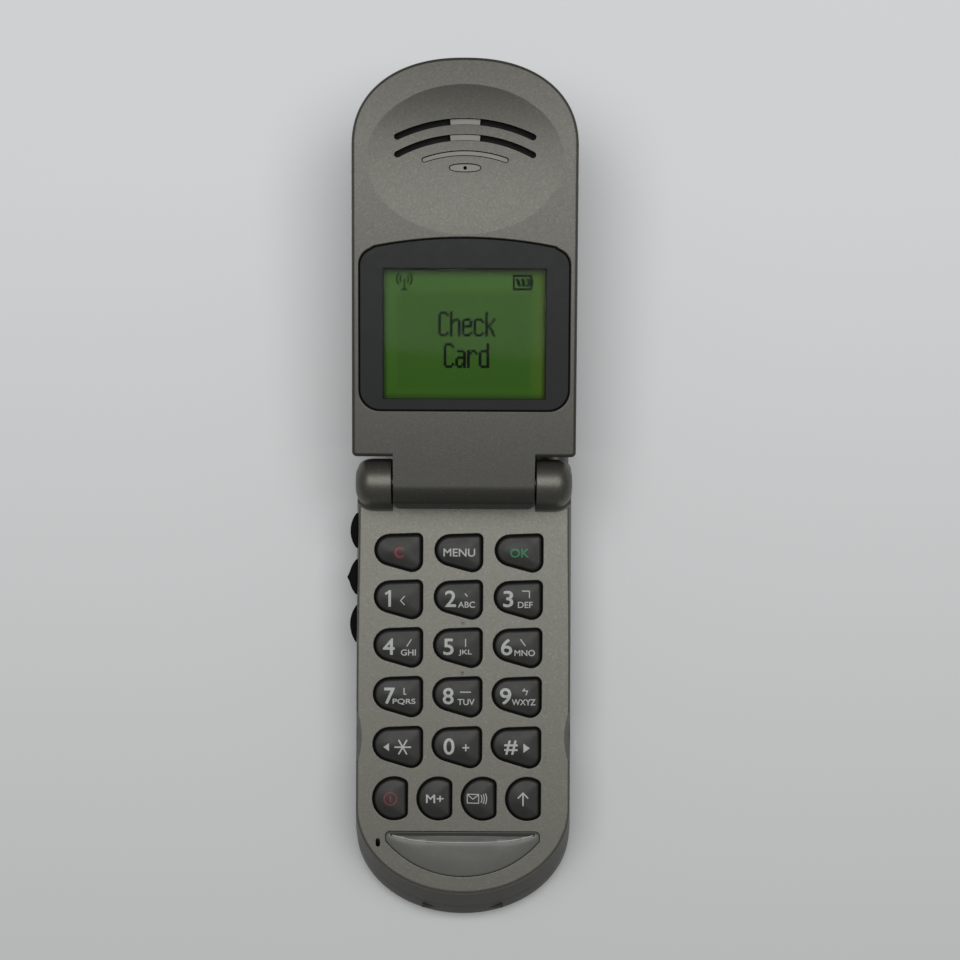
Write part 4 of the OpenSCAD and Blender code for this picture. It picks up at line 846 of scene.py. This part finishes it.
inks = {"key_clear": legendRed, "key_ok": legendGreen, "key_power": legendDim}
legends = {
    "key_clear": [fitted("C", 0.1, 0, 1.8, 2.1, 0.08)],
    "key_menu": [fitted("MENU", 0.1, 0.05, 6.15, 1.55, 0.03)],
    "key_ok": [fitted("OK", 0.1, 0, 3.7, 1.75, 0.05)],
    "key_1": [stroke(-1.67, -1.28, -1.67, 1.68, 0.52), stroke(-2.45, 1.1, -1.75, 1.55, 0.4)]
             + strokes(0.2, (1.2, 0.65, 0.45, -0.2), (0.45, -0.2, 1.2, -1.0)),
    "key_2": [digit("2", -1.5, 2.15), letters("ABC", 1.6, 3.3), stroke(1.3, 1.2, 1.75, 0.7)],
    "key_3": [digit("3", -1.95, 1.95), letters("DEF", 1.35, 2.85)]
             + strokes(0.2, (0.75, 1.75, 2.2, 1.75), (2.15, 1.75, 2.15, 0.45)),
    "key_4": [digit("4", -1.8, 2.3), letters("GHI", 2.0, 2.9), stroke(1.7, 0.3, 2.55, 1.6)],
    "key_5": [digit("5", -1.8, 2.0), letters("JKL", 1.45, 2.55), stroke(1.5, 0.3, 1.5, 1.7)],
    "key_6": [digit("6", -2.1, 2.2), letters("MNO", 1.4, 4.0), stroke(0.6, 1.7, 1.5, 0.5)],
    "key_7": [digit("7", -1.6), letters("PQRS", 1.2, 4.4)]
             + strokes(0.2, (1.2, 1.7, 1.2, 0.55), (1.2, 0.55, 1.6, 0.55)),
    "key_8": [digit("8", -1.75), letters("TUV", 1.7, 3.3), stroke(0.6, 1.0, 2.6, 1.0)],
    "key_9": [digit("9", -2.15, 2.2), letters("WXYZ", 1.35, 4.6)]
             + strokes(0.2, (1.5, 1.7, 1.3, 1.3), (1.1, 1.3, 2.1, 1.3), (2.1, 1.3, 1.8, 0.5)),
    "key_star": [flat([(-2.75, 0.05), (-1.65, 0.85), (-1.65, -0.75)])] + star(1.0, 0.05, 1.55, 0.3),
    "key_0": [digit("0", -1.5), fitted("+", 1.75, 0.0, 1.35, 1.35, 0.02)],
    "key_hash": [fitted("#", -0.95, 0.05, 2.6, 2.8, 0.06), flat([(2.7, -0.05), (1.45, -0.95), (1.45, 0.85)])],
    "key_power": [bow(0.1, 0, 1.2, 0, 359.9, 0.3, 32), stroke(0.1, -0.55, 0.1, 0.55, 0.3)],
    "key_memory": [fitted("M+", 0.1, 0.05, 3.4, 1.65, 0.03)],
    "key_message": strokes(0.17, (-2.2, -0.75, 0.0, -0.75), (-2.2, 0.95, 0.0, 0.95), (-2.2, -0.75, -2.2, 0.95),
                           (0.0, -0.75, 0.0, 0.95), (-2.1, 0.85, -1.1, 0.0), (-1.1, 0.0, -0.1, 0.85))
                   + [bow(-0.6, 0.1, 1.25 + 0.45 * i, -35 + 3 * i, 35 - 3 * i, 0.17, 8) for i in range(3)],
    "key_up": strokes(0.26, (0, -1.2, 0, 1.25), (0, 1.25, -0.95, 0.25), (0, 1.25, 0.95, 0.25)),
}
for k, name in enumerate(keyNames):
    mark = together(legends[name])
    cx, cy = keySpot(k)
    gridTop(mark, lambda part: True, -keys["gridX"], keys["gridX"], -keys["gridY"], keys["gridY"],
            keys["gridStep"])
    for vert in mark.verts:
        vert.co.x += cx
        vert.co.y += cy
        vert.co.z += capHeight(k, vert.co.x, vert.co.y) + legendLift
    settle(mark, "legend." + name, name, [inks.get(name, legendGrey)], crisp=40, weighted=False)
print("keys made")


# ---- side buttons ----

buttons = dict(out=[1.1, 1.3, 1.1], nub=0.4, wall=1.3, bevel=0.35)
for i, name in enumerate(["side_button_upper", "side_button_middle", "side_button_lower"]):
    y0, y1 = front["buttonSlots"][i]
    middle, half = -(y0 + y1) / 2, (y1 - y0) / 2
    reach = buttons["out"][i]
    wallX = -body["halfWide"] + buttons["wall"]
    radius = (half * half + reach * reach) / (2 * reach)
    a = degrees(asin(half / radius))
    bowPoints = arc((-body["halfWide"] - reach + radius, middle), radius, 180 - a, 180 + a, 24)
    if i == 1:
        bowPoints = [(x - buttons["nub"] * max(1 - abs(y - middle) / 1.1, 0) ** 1.4, y) for x, y in bowPoints]
    capPoints = [(wallX, middle + half)] + bowPoints + [(wallX, middle - half)]
    cap = prism(capPoints, front["buttonLow"], front["buttonHigh"])
    bevel(cap, [e for e in cap.edges if all(v.co.x < wallX - 0.5 for v in e.verts)
                and abs(e.verts[0].co.z - e.verts[1].co.z) < 0.01], buttons["bevel"], 3)
    lip = box(wallX - 0.01, wallX + 0.55, middle - half - 0.3, middle + half + 0.3, front["buttonLow"] - 0.3,
              front["buttonHigh"] - 0.4)
    settle(together([cap, lip]), "cap." + name, name, [buttonRubber], replaces=[name])
print("side buttons made")


# ---- rear housing, battery cover and catch ----

rear = dict(bayHalf=15.65, bayStart=17.2, bayLong=53.1, bayHigh=5.1, roof=6.45, coverHalf=17.2, coverStart=15.4,
            gap=0.15, catchHalf=4.5, seat=1.2)
foot = body["faceLong"] + body["chinReach"]


# the upright faces of a shell take the darker wall paint, partly painted shade
def paintWallShade(bm):
    bm.normal_update()
    for side in bm.faces:
        if side.material_index == 0 and abs(side.normal.z) < 0.6:
            side.material_index = 2


def rearOuter():
    bm = drawn([(body["parting"] - 0.01, bodyOutline(body["parting"])), (body["chinFoot"], bodyOutline(0)),
                (0, bodyOutline(0))])
    bevelWhere(bm, lambda c: c.z < 0.01, body["backBevel"], 8)
    bevelWhere(bm, lambda c: abs(c.z - body["chinFoot"]) < 0.01 and c.y < -70, 0.5)
    bevelWhere(bm, lambda c: c.z > body["parting"] - 0.02, 0.12, 1)
    return bm


bay = box(-rear["bayHalf"], rear["bayHalf"], -rear["bayStart"] - rear["bayLong"], -rear["bayStart"], -0.5,
          rear["bayHigh"], slot=1)
roof = prism(roomOutline, rear["roof"], body["parting"] + 0.5, 1)
headRoom = combine(box(-13.2, 13.2, -rear["bayStart"] + 1.3, 3.3, rear["seat"], 7.5, slot=1),
                   [rodsAt(front["screws"][:2], 0, 8, 2.2)])
half = rear["coverHalf"] + rear["gap"]
coverRoom = box(-half, half, -foot - 0.5, -rear["coverStart"] + rear["gap"], -0.5, 1.05, slot=1)
grooves = together([box(side * half - 0.8, side * half + 0.8, -foot - 0.5, -19.4, 0.42, 0.98, slot=1)
                    for side in (-1, 1)])
catchRoomHalf = rear["catchHalf"] + rear["gap"]
catchRoom = box(-catchRoomHalf, catchRoomHalf, -15.9, -8.6, -0.5, 0.95, slot=1)
contactWay = box(-10, 10, -17.7, -15.4, 2.2, 4.2, slot=1)
cardRoom = box(-13.2, 13.2, -38.2, -21.8, 4.6, 5.57, slot=1)
rodWay = together([rod(antennaSpot(-64), antennaSpot(0), 0.75, 24, 1),
                   rod(antennaSpot(-0.5), antennaSpot(5.1), front["collar"], slot=1)])
jackRoom = box(-18.99, -13.81, -7.64, 5.1, 2.01, 7.5, slot=1)
connectorRoom = box(-8, 8, -foot + 1.55, -foot + 7.6, 1.8, 5.2, slot=1)
connectorMouth = box(-7, 7, -foot - 0.5, -foot + 2.5, 1.8, 3.0, slot=1)
screwWays = [rodsAt(front["screws"], -0.5, 7.5, 0.9, 1),
             rodsAt(front["screws"], -0.5, rear["seat"] + 1, 1.6, 1)]
micRoom = rod((-14.6, -68.6, 5.05), (-14.6, -68.6, 7.5), 2.0, slot=1)
rearShell = combine(rearOuter(), [bay, roof, headRoom, coverRoom, grooves, catchRoom, contactWay, cardRoom,
                                  rodWay, jackRoom, connectorRoom, connectorMouth, *screwWays, micRoom])
paintWallShade(rearShell)
settle(rearShell, "rearHousing", "body", [backPaintPartlyShade, blackPlastic, wallPaintPartlyShade],
       replaces=["rear_housing"])

half = rear["coverHalf"]
cover = combine(rearOuter(), [box(-half, half, -foot - 1, -rear["coverStart"], -1, 1.0)], "INTERSECT")
cover = combine(cover, [box(-18.0, 18.0, -foot + 14, -19.55, 0.5, 0.9)], "UNION")
gripStarts = [-rear["coverStart"] - 8 - i * 1.6 for i in range(5)]
cover = combine(cover, [box(-catchRoomHalf, catchRoomHalf, -17.0, -14.9, -0.5, 0.55),
                        together([box(-6, 6, y, y + 0.8, -0.5, 0.25) for y in gripStarts])])
paintWallShade(cover)
settle(cover, "batteryCover", "battery_cover", [backPaintPartlyShade, blackPlastic, wallPaintPartlyShade],
       replaces=["battery_cover"])

half = rear["catchHalf"]
catch = together([box(-half, half, -15.0, -10.4, 0, 0.8, round=0.15),
                  box(-half, half, -16.7, -14.6, 0.0, 0.45, round=0.1)])
catch = combine(catch, [together([box(-3, 3, -14.0 + i * 1.1, -13.5 + i * 1.1, -0.5, 0.25) for i in range(3)])])
settle(catch, "batteryCatch", "battery_catch", [blackPlastic], replaces=["battery_catch"])
print("rear housing made")


# ---- antenna ----

sleeve = turned([(0.65, 0), (3.4, 0), (3.4, 5.2), (3.15, 5.5), (3.15, 5.9), (3.4, 6.2), (3.4, 8.6), (3.1, 9.1),
                 (2.9, 9.2), (0.65, 9.2), (0.65, 0)], antennaSpot(0), antennaSpot(9.2))
settle(sleeve, "antennaSleeve", "body", [bodyPaint], replaces=["antenna_sleeve"], crisp=40)
stub = [(0, -63), (0.55, -63), (0.6, -62.9), (0.6, 9.35), (2.2, 9.35), (2.5, 9.6)]
for i in range(7):
    start = 10.6 + i * 1.35
    stub += [(2.5, start), (2.3, start + 0.15), (2.3, start + 0.5), (2.5, start + 0.65)]
stub += [(2.5, 22.6), (2.35, 23.4), (1.9, 24.0), (1.2, 24.3), (0, 24.35)]
whip = turned(stub, antennaSpot(0), antennaSpot(1), 40)
settle(whip, "antennaWhip", "antenna", [antennaPlastic], replaces=["antenna_whip"], crisp=40)
print("antenna made")


# ---- lid ----

lid = dict(half=21.1, shoulder=5.4, long=79.4, curve=16.4, power=2.25, parting=0.6, face=4.6, rimBevel=0.75,
           wall=1.2, faceWall=1.6, deepWall=2.8, dishDeep=1.2, dishX=18.4, dishY=13.8, dishU=60.8,
           slotCentre=38.7, slotRadii=(29.1, 26.2), slotWide=1.2, slotX=12.6, bridge=2.75, grooveRadius=23.3,
           grooveX=7.6, grooveWide=1.05, eyeletU=59.3, taperDrop=2.2,
           screws=[(-16.6, 10.2), (16.6, 10.2), (-16.6, 51.6), (16.6, 51.6)])
lens = dict(half=19.6, low=14.2, high=44.2, rise=2.1, corner=3.9, thick=0.95, gap=0.15, windowX=15.3,
            windowLow=16.3, windowHigh=40.75)


def lidOutline(inset):
    return longOutline(lid["half"] - inset, lid["shoulder"] + inset, lid["long"] - inset, lid["curve"] - inset,
                       lid["power"], max(0.9 - inset, 0.3), 96)


def lensOutline(grow):
    halfWide, low, top, corner = lens["half"] + grow, lens["low"] - grow, lens["high"] + grow, lens["corner"]
    points = arc((halfWide - corner, low + corner), corner, -90, 0, 10)
    # the far corners round into a bowed edge
    turn = 3.2
    points += arc((halfWide - turn, top + 0.1 - turn), turn, 0, 66, 10)
    for i in range(1, 24):
        t = 1 - i / 12
        points.append(((halfWide - 1.4) * t, top + 0.12 + (lens["rise"] - 0.12) * (1 - t * t)))
    points += arc((-halfWide + turn, top + 0.1 - turn), turn, 114, 180, 10)
    points += arc((-halfWide + corner, low + corner), corner, 180, 270, 10)
    return points


# a curved slot round the slots' centre, with the ends named in caps round
def slotOutline(radius, width, x0, x1, caps=""):
    start, end = asin(x0 / radius), asin(x1 / radius)

    def spot(r, a):
        return r * sin(a), lid["slotCentre"] + r * cos(a)

    def cap(a, first):
        cx, cy = spot(radius, a)
        return [(cx + width / 2 * sin(a + first + pi * i / 8), cy + width / 2 * cos(a + first + pi * i / 8))
                for i in range(1, 8)]

    points = [spot(radius + width / 2, start + (end - start) * i / 24) for i in range(25)]
    points += cap(end, 0) if "far" in caps else []
    points += [spot(radius - width / 2, end + (start - end) * i / 24) for i in range(25)]
    return points + (cap(start, pi) if "near" in caps else [])


# a recess with a pale floor and walls that lean out a little, its walls painted dark as shade in the crevice
def outlined(outline, floorZ, lean):
    bm = drawn([(floorZ, outline(-lean)), (floorZ + 0.3, outline(0)), (5.0, outline(0))], 3)
    return painted(bm, 2, lambda c: c.z < floorZ + 1e-4)


face = prism(lidOutline(0), lid["parting"], lid["face"])
bevelWhere(face, lambda c: c.z > lid["face"] - 0.01, lid["rimBevel"], 6)
bevelWhere(face, lambda c: c.z < lid["parting"] + 0.01, 0.12, 1)

radius = hinge["barrelRadius"]
side = ([(6.6, radius - 0.002), (0, radius - 0.002)]
        + arc((0, 0), radius, 95, 138.5, 12) + arc((0, 0), radius, 221.5, 265, 10)
        + [(0, -radius), (lid["shoulder"] - 0.05, -radius), (lid["shoulder"] - 0.05, lid["parting"] + 0.1),
           (6.6, lid["parting"] + 0.1)])
barrel = drawnAcross(-hinge["barrelEnd"], hinge["barrelEnd"], side)
bevel(barrel, [e for e in barrel.edges if abs(abs(e.verts[0].co.x) - hinge["barrelEnd"]) < 0.01
               and abs(e.verts[0].co.x - e.verts[1].co.x) < 0.01 and e.verts[0].co.y < 5], 0.2, 2)
# the lip along the front of the barrel, its upper side sloping down and its corners round
lipX, lipY, lipRound = hinge["barrelEnd"] - 0.03, -4.74, 1.3
lipOutline = ([(-lipX, -3.0)] + arc((-lipX + lipRound, lipY + lipRound), lipRound, 180, 270, 10)
              + arc((lipX - lipRound, lipY + lipRound), lipRound, 270, 360, 10) + [(lipX, -3.0)])
lip = prism(lipOutline, -2.2, 2.4)
for vert in lip.verts:
    if vert.co.z > 2:
        vert.co.z = 2.5 + (vert.co.y + 3.45) * 0.42
bevelWhere(lip, lambda c: c.z > 1.9 and c.y < -3.01, 0.2, 3)
face = combine(face, [barrel, lip], "UNION")

posts = rodsAt(lid["screws"], 0, 4.6, 1.7)
shallow = [(x, min(u, 46.6)) for x, u in lidOutline(lid["wall"])]
roomA = combine(prism(shallow, -0.5, lid["face"] - lid["faceWall"], 1), [posts.copy()])
roomB = combine(prism(lidOutline(lid["wall"]), -0.5, lid["face"] - lid["deepWall"], 1), [posts])
screwHoles = rodsAt(lid["screws"], 0, 2.2, 0.8, 1)
lensSeat = flaredHole(lambda grow: lensOutline(lens["gap"] + grow), lid["face"] - lens["thick"],
                      lid["face"], 0.22)
window = box(-lens["windowX"], lens["windowX"], lens["windowLow"], lens["windowHigh"], 0, 5.2, slot=1)

# the dish is the cap of a flattened ball
ball = 24.0
ballShare = sqrt(1 - ((ball - lid["dishDeep"]) / ball) ** 2)
dish = bmesh.new()
bmesh.ops.create_uvsphere(dish, u_segments=160, v_segments=200, radius=1)
bmesh.ops.bisect_plane(dish, geom=dish.verts[:] + dish.edges[:] + dish.faces[:], dist=1e-5,
                       plane_co=(0, 0, -0.86), plane_no=(0, 0, 1), clear_outer=True)
bmesh.ops.holes_fill(dish, edges=[e for e in dish.edges if e.is_boundary], sides=0)
bmesh.ops.recalc_face_normals(dish, faces=dish.faces)
bmesh.ops.transform(dish, matrix=Matrix.Translation((0, lid["dishU"], lid["face"] - lid["dishDeep"] + ball))
                    @ Matrix.Diagonal((lid["dishX"] / ballShare, lid["dishY"] / ballShare, ball, 1)),
                    verts=dish.verts)
slots = []
for radiusAt in lid["slotRadii"]:
    ring = slotOutline(radiusAt, lid["slotWide"], lid["bridge"], lid["slotX"], "far")
    slots.append(prism(ring, 0.2, 5.0, 1))
    slots.append(mirrored(slots[-1]))
recessZ = lid["face"] - lid["dishDeep"] - 0.3
bridges = together([outlined(lambda grow, r=r: slotOutline(r, lid["slotWide"] + 2 * grow, -lid["bridge"] - 0.1,
                                                           lid["bridge"] + 0.1), recessZ, 0.1)
                    for r in lid["slotRadii"]])
groove = outlined(lambda grow: slotOutline(lid["grooveRadius"], lid["grooveWide"] + 2 * grow, -lid["grooveX"],
                                           lid["grooveX"], "near far"), recessZ, 0.18)


def eyeOutline(grow):
    return [((3.05 + grow) * signedPower(cos(radians(a)), 0.85),
             lid["eyeletU"] + (0.85 + grow) * signedPower(sin(radians(a)), 0.85)) for a in range(0, 360, 8)]


eyelet = outlined(eyeOutline, recessZ, 0.2)
eyeHole = rod((0, lid["eyeletU"], 0.2), (0, lid["eyeletU"], 5), 0.35, 24, 1)
cartridgeWay = rod((-13.9, 0, 0), (13.9, 0, 0), 3.0, slot=1)
ribbonWay = box(0.4, 6.8, 0, 7.1, -0.64, 0.16, slot=1)
face = combine(face, [roomA, roomB, screwHoles, dish, lensSeat, window, together(slots), bridges, groove,
                      eyelet, eyeHole, cartridgeWay, ribbonWay])
# slots: lid paint with painted shade; near-black painted shade in holes and slots; pale recess floors; dark
# recess walls as painted shade
settle(face, "lidFace", "lid", [lidPaintWithPaintedShade, wellShadeBlack, recessPaint, recessEdgeShade],
       lidPlace, replaces=["lid_face"])

taper = lid["taperDrop"] / (lid["long"] - lid["shoulder"])


# the height of the cover's sloping outer face
def backZ(u):
    return -hinge["barrelRadius"] + (u - lid["shoulder"]) * taper


# lays the points of a level on that face, or above it
def onBack(bm, lift, level):
    for vert in bm.verts:
        if abs(vert.co.z - level) < 1e-4:
            vert.co.z = backZ(vert.co.y) + lift
    return bm


cover = onBack(prism(lidOutline(0), lid["parting"] - 0.01, -9), 0, -9)
bevelWhere(cover, lambda c: c.z < lid["parting"] - 2.2, 2.2, 8)
bevelWhere(cover, lambda c: c.z > lid["parting"] - 0.05, 0.12, 1)
coverPosts = rodsAt(lid["screws"], -9, 4.6, 1.9)
hollow = combine(onBack(prism(lidOutline(1.6), 1.5, -9, 1), 1.2, -9), [coverPosts])
shafts = [rodsAt(lid["screws"], -9, 4.6, 0.9, 1),
          together([rod((x, u, -9), (x, u, backZ(u) + 1.2), 1.45, slot=1) for x, u in lid["screws"]])]
coverRibbon = box(0.4, 6.8, 0, 7.5, -0.64, 0.16, slot=1)
cover = combine(cover, [hollow] + shafts + [coverRibbon])
settle(cover, "lidCover", "lid", [lidPaintWithPaintedShade, wellShadeBlack], lidPlace, replaces=["lid_cover"])
print("lid made")


# ---- display ----

plate = prism(lensOutline(0), lid["face"] - lens["thick"], lid["face"] - 0.03)
bevelWhere(plate, lambda c: c.z > lid["face"] - 0.04, 0.22, 3)


def openingOutline(grow):
    half = lens["windowX"] - 0.05 + grow
    low, top = lens["windowLow"] + 0.05 - grow, lens["windowHigh"] - 0.05 + grow
    return [(-half, low), (half, low), (half, top), (-half, top)]


opening = flaredHole(openingOutline, 2, lid["face"] - 0.03, 0.05, 1, 0)
plate = combine(plate, [opening])
settle(plate, "lensBorder", "lid", [lensBorder], lidPlace, replaces=["display_lens"])
pane = box(-lens["windowX"] + 0.06, lens["windowX"] - 0.06, lens["windowLow"] + 0.06, lens["windowHigh"] - 0.06,
           lid["face"] - 0.75, lid["face"] - 0.06, round=0.04, segments=1)
settle(pane, "lensPane", "lid", [paneClear], lidPlace)

screen = dict(top=2.96, x=17.4, low=14.6, high=43.0, activeX=(-12.75, 12.6), activeU=(18.2, 36.3))
panel = together([box(-screen["x"], screen["x"], screen["low"], screen["high"], 2.03, screen["top"], round=0.06,
                      segments=1),
                  box(-16.6, 16.6, 15.6, 41.6, 1.27, 2.04)])
mapUv = panel.loops.layers.uv.new("screenMap")
for panelFace in panel.faces:
    for loop in panelFace.loops:
        loop[mapUv].uv = (loop.vert.co.x / 10, loop.vert.co.y / 10)

s = Shades("screenWithEdgeShadow")
uvSpot = s.node("ShaderNodeUVMap", uv_map="screenMap").outputs["UV"]
across, along = s.split(uvSpot)["X"], s.split(uvSpot)["Y"]


def product(a, b):
    return s.node("ShaderNodeMath", {0: a, 1: b}, operation="MULTIPLY").outputs[0]


# 1 between two lengths and 0 outside, with soft edges
def inside(value, low, highEnd, soft):
    return product(s.ramp(value, (low - soft) / 10, (low + soft) / 10),
                   s.ramp(value, (highEnd - soft) / 10, (highEnd + soft) / 10, 1, 0))


active = product(inside(across, *screen["activeX"], 0.25), inside(along, *screen["activeU"], 0.25))
lower = s.ramp(along, 1.6, 4.1)
border = s.blend(lower, tone(54, 97, 14), tone(66, 111, 34))
inner = s.blend(lower, tone(50, 93, 16), tone(56, 100, 22))
colour = s.blend(active, border, inner)
colour = s.blend(s.ramp(across, 1.2, 1.5), colour, tone(74, 102, 14))
# painted shadow of the bezel: darker within about a millimetre of the window's edges
clearOfEdgeShadow = product(inside(across, -14.9, 14.9, 0.5), inside(along, 16.6, 39.7, 0.8))
colour = s.blend(clearOfEdgeShadow, tone(30, 40, 18), colour)
s.shade({"Base Color": s.blend(s.drift(90, 3, 0, 0.1), colour, tone(50, 78, 24)), "Roughness": 0.5,
         "Specular IOR Level": 0.1})
settle(panel, "lcdScreen", "lid", [s.material], lidPlace, replaces=["lcd_panel"],
       weighted=False)

glyphs = {
    "C": ".###. #...# #.... #.... #.... #.... #.... #.... #.... #...# .###.",
    "h": "#.... #.... #.... #.##. ##..# #...# #...# #...# #...# #...# #...#",
    "e": "..... ..... ..... .###. #...# #...# ##### #.... #.... #...# .###.",
    "c": "..... ..... ..... .###. #...# #.... #.... #.... #.... #...# .###.",
    "k": "#.... #.... #.... #...# #..#. #.#.. ##... #.#.. #..#. #..#. #...#",
    "a": "..... ..... ..... .###. ....# ....# .#### #...# #...# #..## .##.#",
    "r": "..... ..... ..... #.##. ##..# #.... #.... #.... #.... #.... #....",
    "d": "....# ....# ....# .#### #...# #...# #...# #...# #...# #...# .####",
    "cell": "##############. #............#. #.##..##..##.## #..##..##..#### "
            "#..##..##..#### #...##.##.##.## #............#. ##############.",
}
pixel = dict(x=0.367, u=0.42, wide=1.5, tall=1.25, high=0.02)
dots = []


def addGlyph(name, left, top, stepX, stepU):
    for row, line in enumerate(glyphs[name].split()):
        col = 0
        while col < len(line):
            run = 0
            while col + run < len(line) and line[col + run] == "#":
                run += 1
            if run:
                dots.append(box(left + col * stepX, left + (col + run - 1 + pixel["wide"]) * stepX,
                                top - (row + pixel["tall"]) * stepU, top - row * stepU,
                                screen["top"] - 0.01, screen["top"] + pixel["high"]))
            col += max(run, 1)


for word, left, top in (("Check", -4.95, 32.7), ("Card", -3.93, 26.8)):
    for i, letter in enumerate(word):
        addGlyph(letter, left + i * 6 * pixel["x"], top, pixel["x"], pixel["u"])
mastX, mastU = -11.3, 38.7
mast = ([bow(mastX, mastU, r, side - 48, side + 48, 0.3, 10) for r in (0.8, 1.45) for side in (0, 180)]
        + [stroke(mastX, mastU, mastX, mastU - 1.9, 0.34),
           stroke(mastX - 0.5, mastU - 1.95, mastX + 0.5, mastU - 1.95, 0.4)])
for part in mast:
    bmesh.ops.translate(part, vec=(0, 0, screen["top"]), verts=part.verts)
dots += mast
addGlyph("cell", 9.0, 39.6, 0.25, 0.36)
settle(together(dots), "lcdPixels", "lid", [pixelInk], lidPlace, weighted=False)
print("display made")


# ---- materials of the pieces kept from the frame ----

kept = (
    (siliconeGrey, "keypad_membrane"), (clearFilm, "dome_sheet backlight_guide"),
    (boardGreen, "main_board display_board"), (tinPlate, "rf_shields sim_holder vibra_motor side_switches"),
    (batteryCase, "battery_pack"), (goldContact, "battery_contacts"), (tungsten, "vibra_weight"),
    # the connector takes the wall paint and with it its painted shade
    (blackPlastic, "microphone ringer headset_jack earpiece"), (wallPaintPartlyShade, "system_connector"),
    (screwSteel, "housing_screws lid_screws"), (feltBlack, "earpiece_mesh"), (ribbonCopper, "hinge_flex"),
    (hingeSteel, "hinge_shaft hinge_pin hinge_cartridge hinge_bush"),
)
for material, names in kept:
    for name in names.split():
        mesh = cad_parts[name].data
        mesh.materials.clear()
        mesh.materials.append(material)
print("frame pieces finished")

bpy.context.scene.view_settings.view_transform = "Standard"
